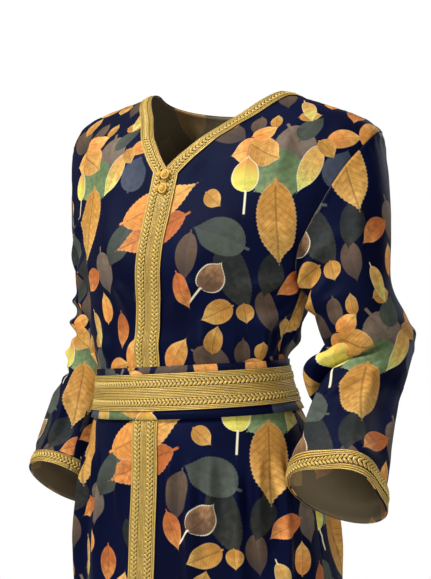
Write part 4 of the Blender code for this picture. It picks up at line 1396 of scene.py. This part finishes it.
# %% Cross sections: cords as (distance across, radius), and the plait as (distance, half width)
FRONT_SECTION = (
    ((0.0008, 0.0008), (0.0026, 0.0009), (0.0046, 0.0009), (0.0150, 0.0009), (0.0167, 0.0007),
     (0.0181, 0.0009)),
    (0.0099, 0.0038),
)
BELT_SECTION = (
    ((0.0009, 0.0009), (0.0028, 0.0009), (0.0047, 0.0009), (0.0153, 0.0009), (0.0172, 0.0009),
     (0.0191, 0.0009), (0.0210, 0.0009)),
    (0.0100, 0.0038),
)
CUFF_SECTION = (
    ((0.0009, 0.0009), (0.0029, 0.0009), (0.0049, 0.0009), (0.0165, 0.0009), (0.0185, 0.0009),
     (0.0205, 0.0009)),
    (0.0107, 0.0042),
)
STRIP_STEP = 0.0030
STRIP_BASE = 0.0006
CORD_RELIEF = 0.0009
STITCH_PITCH = 0.0051
STITCH_TURN = math.radians(36)
STITCH_HALF = (0.0041, 0.0016, 0.0014)
STITCH_SEAT = 0.35
STITCH_SEGMENTS, STITCH_RINGS = 8, 6
CORD_FLANK = 0.55
PLAIT_COLUMNS = 6


def relief(cords, across):
    """How high the cords stand over the strip's base, at lengths across it."""
    height = np.zeros_like(across)
    for place, radius in cords:
        height = np.maximum(height, np.sqrt(np.maximum(radius**2 - (across - place) ** 2, 0)))
    return height


def section_columns(section, width):
    """Lengths across the strip: close together on the cords and wider apart under the plait."""
    cords, (plait, half) = section
    marks = [0.0, width, *np.linspace(plait - half, plait + half, PLAIT_COLUMNS)]
    for place, radius in cords:
        marks += [place + radius * share for share in (-1, -CORD_FLANK, 0, CORD_FLANK, 1)]
    return np.unique(np.round(np.clip(marks, 0, width), 5))


def strip_mesh(name, ribbon, section, lift):
    """The ribbon's woven base with its cords in relief. Its UV map is along and across, in metres."""
    along = np.linspace(0, ribbon.length, int(ribbon.length / STRIP_STEP) + 1)
    along, across = np.meshgrid(along, section_columns(section, ribbon.width), indexing="ij")
    points, normals, _ = ribbon.at(along, across)
    height = relief(section[0], across)
    points = points + normals * (lift + STRIP_BASE + height)[..., None]
    mesh = grid_mesh(name, points, np.stack([along, across], axis=-1))
    # Which way is out is settled by the ribbon itself, since a strip encloses nothing.
    face = mesh.polygons[len(mesh.polygons) // 2]
    corner = np.array(mesh.vertices[face.vertices[0]].co)
    nearest = np.linalg.norm(points.reshape(-1, 3) - corner, axis=1).argmin()
    if np.array(face.normal) @ normals.reshape(-1, 3)[nearest] < 0:
        mesh.flip_normals()
    depth = mesh.attributes.new("relief", "FLOAT", "POINT")
    depth.data.foreach_set("value", (height / CORD_RELIEF).astype(np.float32).ravel())
    return mesh


def unit_stitch():
    """A small ball of unit radius, which each stitch stretches and turns into place."""
    bm = bmesh.new()
    bmesh.ops.create_uvsphere(bm, u_segments=STITCH_SEGMENTS, v_segments=STITCH_RINGS, radius=1.0)
    return to_mesh("unit_stitch", bm)


UNIT_STITCH = unit_stitch()


def add_stitches(name, ribbon, section, lift, forward):
    """The plait: pairs of stitches that meet in arrowheads, pointing along the ribbon if forward is 1."""
    plait, half = section[1]
    count = int(ribbon.length / STITCH_PITCH)
    along = (np.arange(count) + 0.5) * ribbon.length / count
    ball = np.array([vert.co for vert in UNIT_STITCH.vertices]) * STITCH_HALF
    places = []
    for edge in (-1, 1):
        points, normals, ways = ribbon.at(along, plait + edge * half * 0.5)
        sides = np.cross(normals, ways)
        outward = ribbon.at(along, plait + edge * half)[0] - ribbon.at(along, plait)[0]
        sides = unit(sides * np.sign((sides * outward).sum(-1, keepdims=True)))
        axis = unit(ways * forward * math.cos(STITCH_TURN) - sides * math.sin(STITCH_TURN))
        centre = points + normals * (lift + STRIP_BASE + STITCH_HALF[2] * STITCH_SEAT)
        frames = np.stack([axis, np.cross(normals, axis), normals], axis=1)
        places.append(centre[:, None] + ball @ frames)
    bm = bmesh.new()
    for _ in range(2 * count):
        bm.from_mesh(UNIT_STITCH)
    mesh = to_mesh(name, bm)
    mesh.vertices.foreach_set("co", np.concatenate(places).astype(np.float32).ravel())
    local = mesh.attributes.new("stitch", "FLOAT_VECTOR", "POINT")
    local.data.foreach_set("vector", np.tile(ball, (2 * count, 1)).astype(np.float32).ravel())
    print(name, "has", 2 * count, "stitches")
    return mesh


# %% [markdown]
# ### Gold thread
# Metal thread is a strip of gilt foil wound round a core. From a distance it reads as warm metal broken
# into sparks, because every turn of the foil tilts a little differently. Here those sparks are painted
# into the colour as glints, and the grooves and the feet of cords and stitches are painted in shade.
# The cords are drawn as turns of thread on the strip's own two lengths, and the stitches as threads
# that run along each stitch.


# %% Materials for gold
GOLD = linear(255, 214, 100)
# The colour of the painted shade in the grooves and at the foot of cords and stitches.
GOLD_PAINTED_SHADE = linear(108, 68, 12)
# The colour of the painted glints on the foil.
GOLD_PAINTED_GLINT = linear(255, 246, 182)
SPARK_SCALE, PATCH_SCALE = 900.0, 60.0
GOLD_METALLIC = 0.25
GOLD_BUMP = (0.7, 0.0003)
# Where each of these sets in and is full, then what it turns from and to.
# LIT_RIDGE and LIT_EXPOSED set where painted light takes over from painted shade, GLINT where painted
# glints show.
LIT_RIDGE, LIT_EXPOSED, GLINT = (0.05, 0.80), (0.25, 1.00), (0.52, 0.68)
WORN_PATCH, DULL_SPARK = (0.35, 0.65, 0.86, 1.0), (0.34, 0.48, 0.62, 1.0)
GOLD_ROUGHNESS = (0.3, 0.7, 0.52, 0.28)
SPARK_HEIGHT = 0.8
# Lengths in metres: a turn of foil along and across a cord, and one thread of a stitch.
THREAD_TURN, THREAD_SLANT, STITCH_THREAD = 0.0024, 0.0012, 0.00080
STITCH_LOW, STITCH_HIGH = -0.0003, 0.0009


def gold_group():
    """Colour, roughness and height of gold thread, from the turns of the thread and how exposed it is."""
    group, given, out = new_group(
        "Gold thread", [("Place", "Vector"), ("Turns", "Float"), ("Exposed", "Float")],
        [("Color", "Color"), ("Roughness", "Float"), ("Height", "Float")])
    add, times, wave, size = maths(group, "ADD", "MULTIPLY", "SINE", "ABSOLUTE")
    sparks = noise(group, given["Place"], SPARK_SCALE)
    patches = noise(group, given["Place"], PATCH_SCALE)
    ridge = size(wave(given["Turns"]))
    # Painted light and shade: dark in the grooves between turns and at the foot of cords and stitches, gold
    # on ridges and tops.
    painted_light = times(ease(group, ridge, *LIT_RIDGE), ease(group, given["Exposed"], *LIT_EXPOSED))
    colour = blend(group, painted_light, GOLD_PAINTED_SHADE, GOLD)
    # Painted glints: pale gold where sparks fall on the lit thread.
    colour = blend(group, times(ease(group, sparks, *GLINT), painted_light), colour, GOLD_PAINTED_GLINT)
    # Patches of wear, darkened further by painted dulling where a spark of foil catches no light.
    worn = times(ease(group, patches, *WORN_PATCH), ease(group, sparks, *DULL_SPARK))
    group.links.new(shaded(group, colour, worn), out["Color"])
    group.links.new(ease(group, sparks, *GOLD_ROUGHNESS), out["Roughness"])
    group.links.new(add(ridge, times(sparks, SPARK_HEIGHT)), out["Height"])
    return group


GOLD_THREAD = gold_group()


def gold_material(name, place_of, turns_of, exposed_of):
    material, tree, shader = new_material(name)
    place = place_of(tree)
    made = use(tree, GOLD_THREAD, Place=place, Turns=turns_of(tree, place), Exposed=exposed_of(tree))
    tree.links.new(made["Color"], shader["Base Color"])
    tree.links.new(made["Roughness"], shader["Roughness"])
    shader["Metallic"].default_value = GOLD_METALLIC
    add_bump(tree, shader, made["Height"], *GOLD_BUMP)
    return material


def cord_turns(tree, place):
    """Turns of foil that slant across each cord."""
    add, times, divide = maths(tree, "ADD", "MULTIPLY", "DIVIDE")
    along, across, _ = split(tree, place)
    return times(add(divide(along, THREAD_TURN), divide(across, THREAD_SLANT)), math.pi)


def stitch_place(tree):
    return read(tree, "stitch")


def stitch_turns(tree, place):
    """Threads that lie side by side along each stitch."""
    return calc(tree, "MULTIPLY", split(tree, place)[1], math.pi / STITCH_THREAD)


def stitch_exposed(tree):
    """The top of a stitch is exposed, and its foot is in shade."""
    # This mask paints the foot of each stitch in shade.
    return ease(tree, split(tree, stitch_place(tree))[2], STITCH_LOW, STITCH_HIGH)


# The cords' relief paints shade at their foot, and the stitches' height paints shade at theirs.
GOLD_CORDS = gold_material("gold_cords", flat_place, cord_turns, lambda tree: read(tree, "relief", "Fac"))
GOLD_STITCHES = gold_material("gold_stitches", stitch_place, stitch_turns, stitch_exposed)

# %% Lay the braids on the front, belt and cuffs
STRIP_WALL = 0.0005


def turned_over(section, width):
    """The same ribbon measured from its other edge."""
    cords, (plait, half) = section
    return tuple((width - place, radius) for place, radius in cords), (width - plait, half)


def add_braid(name, node, ribbon, section, lift, forward):
    """One braid: its corded strip and its plait, standing for its CAD node."""
    strip = add_object(name + "_cords", strip_mesh(name + "_cords", ribbon, section, lift))
    strip.data.materials.append(GOLD_CORDS)
    thicken(strip, STRIP_WALL)
    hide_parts(node)
    plait = add_object(name + "_plait", add_stitches(name + "_plait", ribbon, section, lift, forward))
    plait.data.materials.append(GOLD_STITCHES)


for side, word in ((1, "left"), (-1, "right")):
    cuff = "cuff_braid_" + word
    add_braid("front_braid_" + word, "braid_" + word, FRONT_RIBBONS[side], FRONT_SECTION, REST_GAP, -1)
    add_braid(cuff + "_gold", cuff, CUFF_RIBBONS[side], CUFF_SECTION, REST_GAP, 1)
BRAID_LIFT = BELT_LIFT + BELT_THICK + REST_GAP
for word, (outer_level, inner_level) in BELT_STRIPS.items():
    ribbon = belt_ribbon(outer_level, inner_level, BRAID_LIFT)
    # Both belt braids are sewn the same way up, so the upper one is measured from its other edge.
    section = turned_over(BELT_SECTION, ribbon.width) if word == "upper" else BELT_SECTION
    add_braid(f"belt_{word}_gold", "belt_braid_" + word, ribbon, section, 0.0, -1)

# %% [markdown]
# ## The belt band
# Under the gold, the belt is a stiffened band of the same print. It shows as a thin dark edge above and
# below the braids, and as the whole inner face. It closes at the centre back, edge to edge.

# %% Build the band
BAND_PLACES, BAND_ROWS = 260, 11
BAND_SHIFT = (0.03, 0.16)


def build_band():
    ribbon = belt_ribbon(*BELT_EDGES, BELT_LIFT + BELT_THICK)
    along, across = np.linspace(0, ribbon.length, BAND_PLACES), np.linspace(0, ribbon.width, BAND_ROWS)
    flat = np.stack(np.meshgrid(along, across, indexing="ij"), axis=-1)
    points, _, _ = ribbon.at(flat[..., 0], flat[..., 1])
    mesh = grid_mesh("belt_cloth", points, flat)
    print_leaves(mesh, BAND_SHIFT)
    mesh.materials.append(CREPE)
    piece = add_object("belt_cloth", mesh)
    thicken(piece, BELT_THICK)
    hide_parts("belt_band")
    cut_width, cut_length, area = sheet_facts(points, flat)
    print(f"the belt is {cut_width:.3f} m long and {cut_length:.3f} m wide, {area:.4f} m2")


build_band()

# %% [markdown]
# ## Knotted buttons and loops
# At the foot of the neck two small buttons, knotted from cord, sit beside the knots that end their
# loops. A knot of cord is a ball wound three ways. Each ball here starts round and is raised along
# the turns of its cord, each turn dipping where it passes under the next.

# %% Build the fastenings
BUTTON_RADIUS, BUTTON_X = 0.0042, 0.0035
LOOP_KNOT_RADIUS, LOOP_KNOT_X = 0.0034, -0.0050
LOOP_RADIUS, LOOP_CORD_RADIUS = 0.0054, 0.0008
BUTTON_LEVELS = {"upper": -0.1130, "lower": -0.1300}
KNOT_AXES = ((1, 0.2, 0.1), (0.1, 1, -0.2), (-0.2, 0.1, 1))
CORD_TURNS = 6.4
CORD_DEPTH = 0.16
CORD_SIDES, RING_STEPS = 8, 32
RING_GROOVE = 0.7


def on_front_braid(x, level):
    """The place and the normal of the front braid's face at a distance from the centre line."""
    angle = math.acos(x / float(smooth(BODY, HALF_WIDTH, level)))
    normal = body_normal(angle, level)
    return body(angle, level) + normal * (REST_GAP + BRAID_THICK), normal


def move_to(bm, verts, place, turn):
    bmesh.ops.transform(bm, matrix=Matrix.Translation(place) @ turn.to_matrix().to_4x4(), verts=verts)


def knot_into(bm, radius, place, turn):
    """A ball wound with cord: three bands of turns, each over the next."""
    layer = bm.verts.layers.float.new("groove")
    made = bmesh.ops.create_icosphere(bm, subdivisions=4, radius=1.0)
    axes = [Vector(axis).normalized() for axis in KNOT_AXES]
    for vert in made["verts"]:
        way = vert.co.normalized()
        # The band whose axis is squarest to this place lies on top here.
        tilt = way.dot(min(axes, key=lambda axis: abs(way.dot(axis))))
        groove = abs(math.cos(math.asin(max(-1.0, min(1.0, tilt))) * CORD_TURNS))
        vert[layer] = groove
        vert.co = way * radius * (1 - CORD_DEPTH + CORD_DEPTH * math.sqrt(groove))
    move_to(bm, made["verts"], place, turn)


def cord_ring_into(bm, place, turn, radius, thick):
    """A closed ring of cord, spun from a small circle."""
    before = set(bm.verts)
    layer = bm.verts.layers.float["groove"]
    at = Matrix.Translation((radius, 0, 0)) @ Matrix.Rotation(math.pi / 2, 4, "X")
    start = bmesh.ops.create_circle(bm, segments=CORD_SIDES, radius=thick, matrix=at)["verts"]
    edges = dict.fromkeys(edge for vert in start for edge in vert.link_edges)
    bmesh.ops.spin(bm, geom=[*start, *edges], cent=(0, 0, 0), axis=(0, 0, 1), angle=2 * math.pi,
                   steps=RING_STEPS, use_merge=True, use_duplicate=False)
    ring = [vert for vert in bm.verts if vert not in before]
    for vert in ring:
        vert[layer] = RING_GROOVE
    move_to(bm, ring, place, turn)


CORD_PAINTED_SHADE, CORD_GOLD, CORD_PAINTED_GLINT = linear(140, 94, 24), linear(240, 190, 80), linear(255, 226, 140)
CORD_SPARKS, CORD_SHEEN = 1600.0, 0.15
CORD_BUMP = (0.5, 0.0002)


def knot_material():
    material, tree, shader = new_material("knotted_cord")
    groove = read(tree, "groove", "Fac")
    sparks = noise(tree, tree.nodes.new("ShaderNodeTexCoord").outputs["Object"], CORD_SPARKS)
    # Painted shade in the dips between turns of cord, and painted glints where the sparks fall.
    colour = blend(tree, ease(tree, groove, 0.1, 0.8), CORD_PAINTED_SHADE, CORD_GOLD)
    colour = blend(tree, ease(tree, sparks, 0.55, 0.75, 0.0, 0.5), colour, CORD_PAINTED_GLINT)
    tree.links.new(colour, shader["Base Color"])
    tree.links.new(ease(tree, sparks, 0.3, 0.7, 0.72, 0.55), shader["Roughness"])
    shader["Sheen Weight"].default_value = CORD_SHEEN
    add_bump(tree, shader, sparks, *CORD_BUMP)
    return material


def finish_knot(name, node, bm):
    bmesh.ops.recalc_face_normals(bm, faces=bm.faces)
    mesh = to_mesh(name, bm)
    mesh.materials.append(KNOTTED)
    piece = add_object(name, mesh)
    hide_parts(node)


KNOTTED = knot_material()
for word, level in BUTTON_LEVELS.items():
    face, normal = on_front_braid(BUTTON_X, level)
    turn = Vector(normal).to_track_quat("Z", "Y")
    seat = Vector(face + normal * (BUTTON_RADIUS + REST_GAP))
    bm = bmesh.new()
    knot_into(bm, BUTTON_RADIUS, seat, turn)
    finish_knot("knot_button_" + word, "button_" + word, bm)
    face, normal = on_front_braid(LOOP_KNOT_X, level)
    bm = bmesh.new()
    knot_into(bm, LOOP_KNOT_RADIUS, Vector(face + normal * (LOOP_KNOT_RADIUS + REST_GAP)), turn)
    cord_ring_into(bm, seat, turn, LOOP_RADIUS, LOOP_CORD_RADIUS)
    finish_knot("corded_loop_" + word, "loop_" + word, bm)
print("fastened with", len(BUTTON_LEVELS), "knotted buttons")

# %% [markdown]
# ## Stage, light and camera
# Shop pictures of dresses are lit softly from one side against white. A large lamp at the wearer's right
# front is the key, a weaker one fills from the other side, and the white world does the rest. The camera
# stands about a metre and a half away, level with the ribs, thirty-five degrees to the wearer's left.

# %% The floor, the lamps and the world
FLOOR_LEVEL, FLOOR_RADIUS = -1.42, 2.4
TARGET = (0.0, -0.04, -0.35)
# name, place, size and power
LAMPS = (
    ("key_lamp", (-1.05, -1.90, 2.00), 0.9, 128.0),
    ("fill_lamp", (1.75, -1.55, -0.45), 1.2, 17.0),
    ("rim_lamp", (0.60, 2.10, 0.90), 1.2, 16.0),
)
AMBIENT = 0.17

bm = bmesh.new()
bmesh.ops.create_circle(bm, cap_ends=True, segments=96, radius=FLOOR_RADIUS,
                        matrix=Matrix.Translation((0, 0, FLOOR_LEVEL)))
material, _, shader = new_material("studio_floor")
shader["Base Color"].default_value = (0.86, 0.86, 0.86, 1)
shader["Roughness"].default_value = 0.9
floor = add_to_scene("studio_floor", to_mesh("studio_floor", bm))
floor.data.materials.append(material)

for name, place, size, power in LAMPS:
    lamp = bpy.data.lights.new(name, "AREA")
    lamp.shape = "DISK"
    lamp.size = size
    lamp.energy = power
    holder = add_to_scene(name, lamp)
    holder.location = place
    holder.rotation_euler = (Vector(TARGET) - Vector(place)).to_track_quat("-Z", "Y").to_euler()

world = bpy.data.worlds.new("white_studio")
bpy.context.scene.world = world
world.use_nodes = True
sky = world.node_tree
# The background is plain white, and lights the cloth less than it shows.
seen = sky.nodes.new("ShaderNodeLightPath").outputs["Is Camera Ray"]
background = sky.nodes["Background"].inputs
background["Color"].default_value = (1, 1, 1, 1)
sky.links.new(ease(sky, seen, 0.0, 1.0, AMBIENT, 1.0), background["Strength"])

# %% The camera
CAMERA_TURN = math.radians(35)
CAMERA_AWAY, CAMERA_LEVEL = 1.45, -0.25
SENSOR = 36.0
FOCAL_PIXELS, LONG_SIDE = 1131, 579
AXIS_SHIFT = -0.006

lens = bpy.data.cameras.new("camera")
lens.sensor_width = SENSOR
lens.lens = SENSOR * FOCAL_PIXELS / LONG_SIDE
lens.shift_x = AXIS_SHIFT
camera = add_to_scene("camera", lens)
camera.location = (CAMERA_AWAY * math.sin(CAMERA_TURN), -CAMERA_AWAY * math.cos(CAMERA_TURN), CAMERA_LEVEL)
camera.rotation_euler = (math.pi / 2, 0, CAMERA_TURN)
bpy.context.scene.camera = camera
bpy.context.scene.view_settings.view_transform = "Standard"
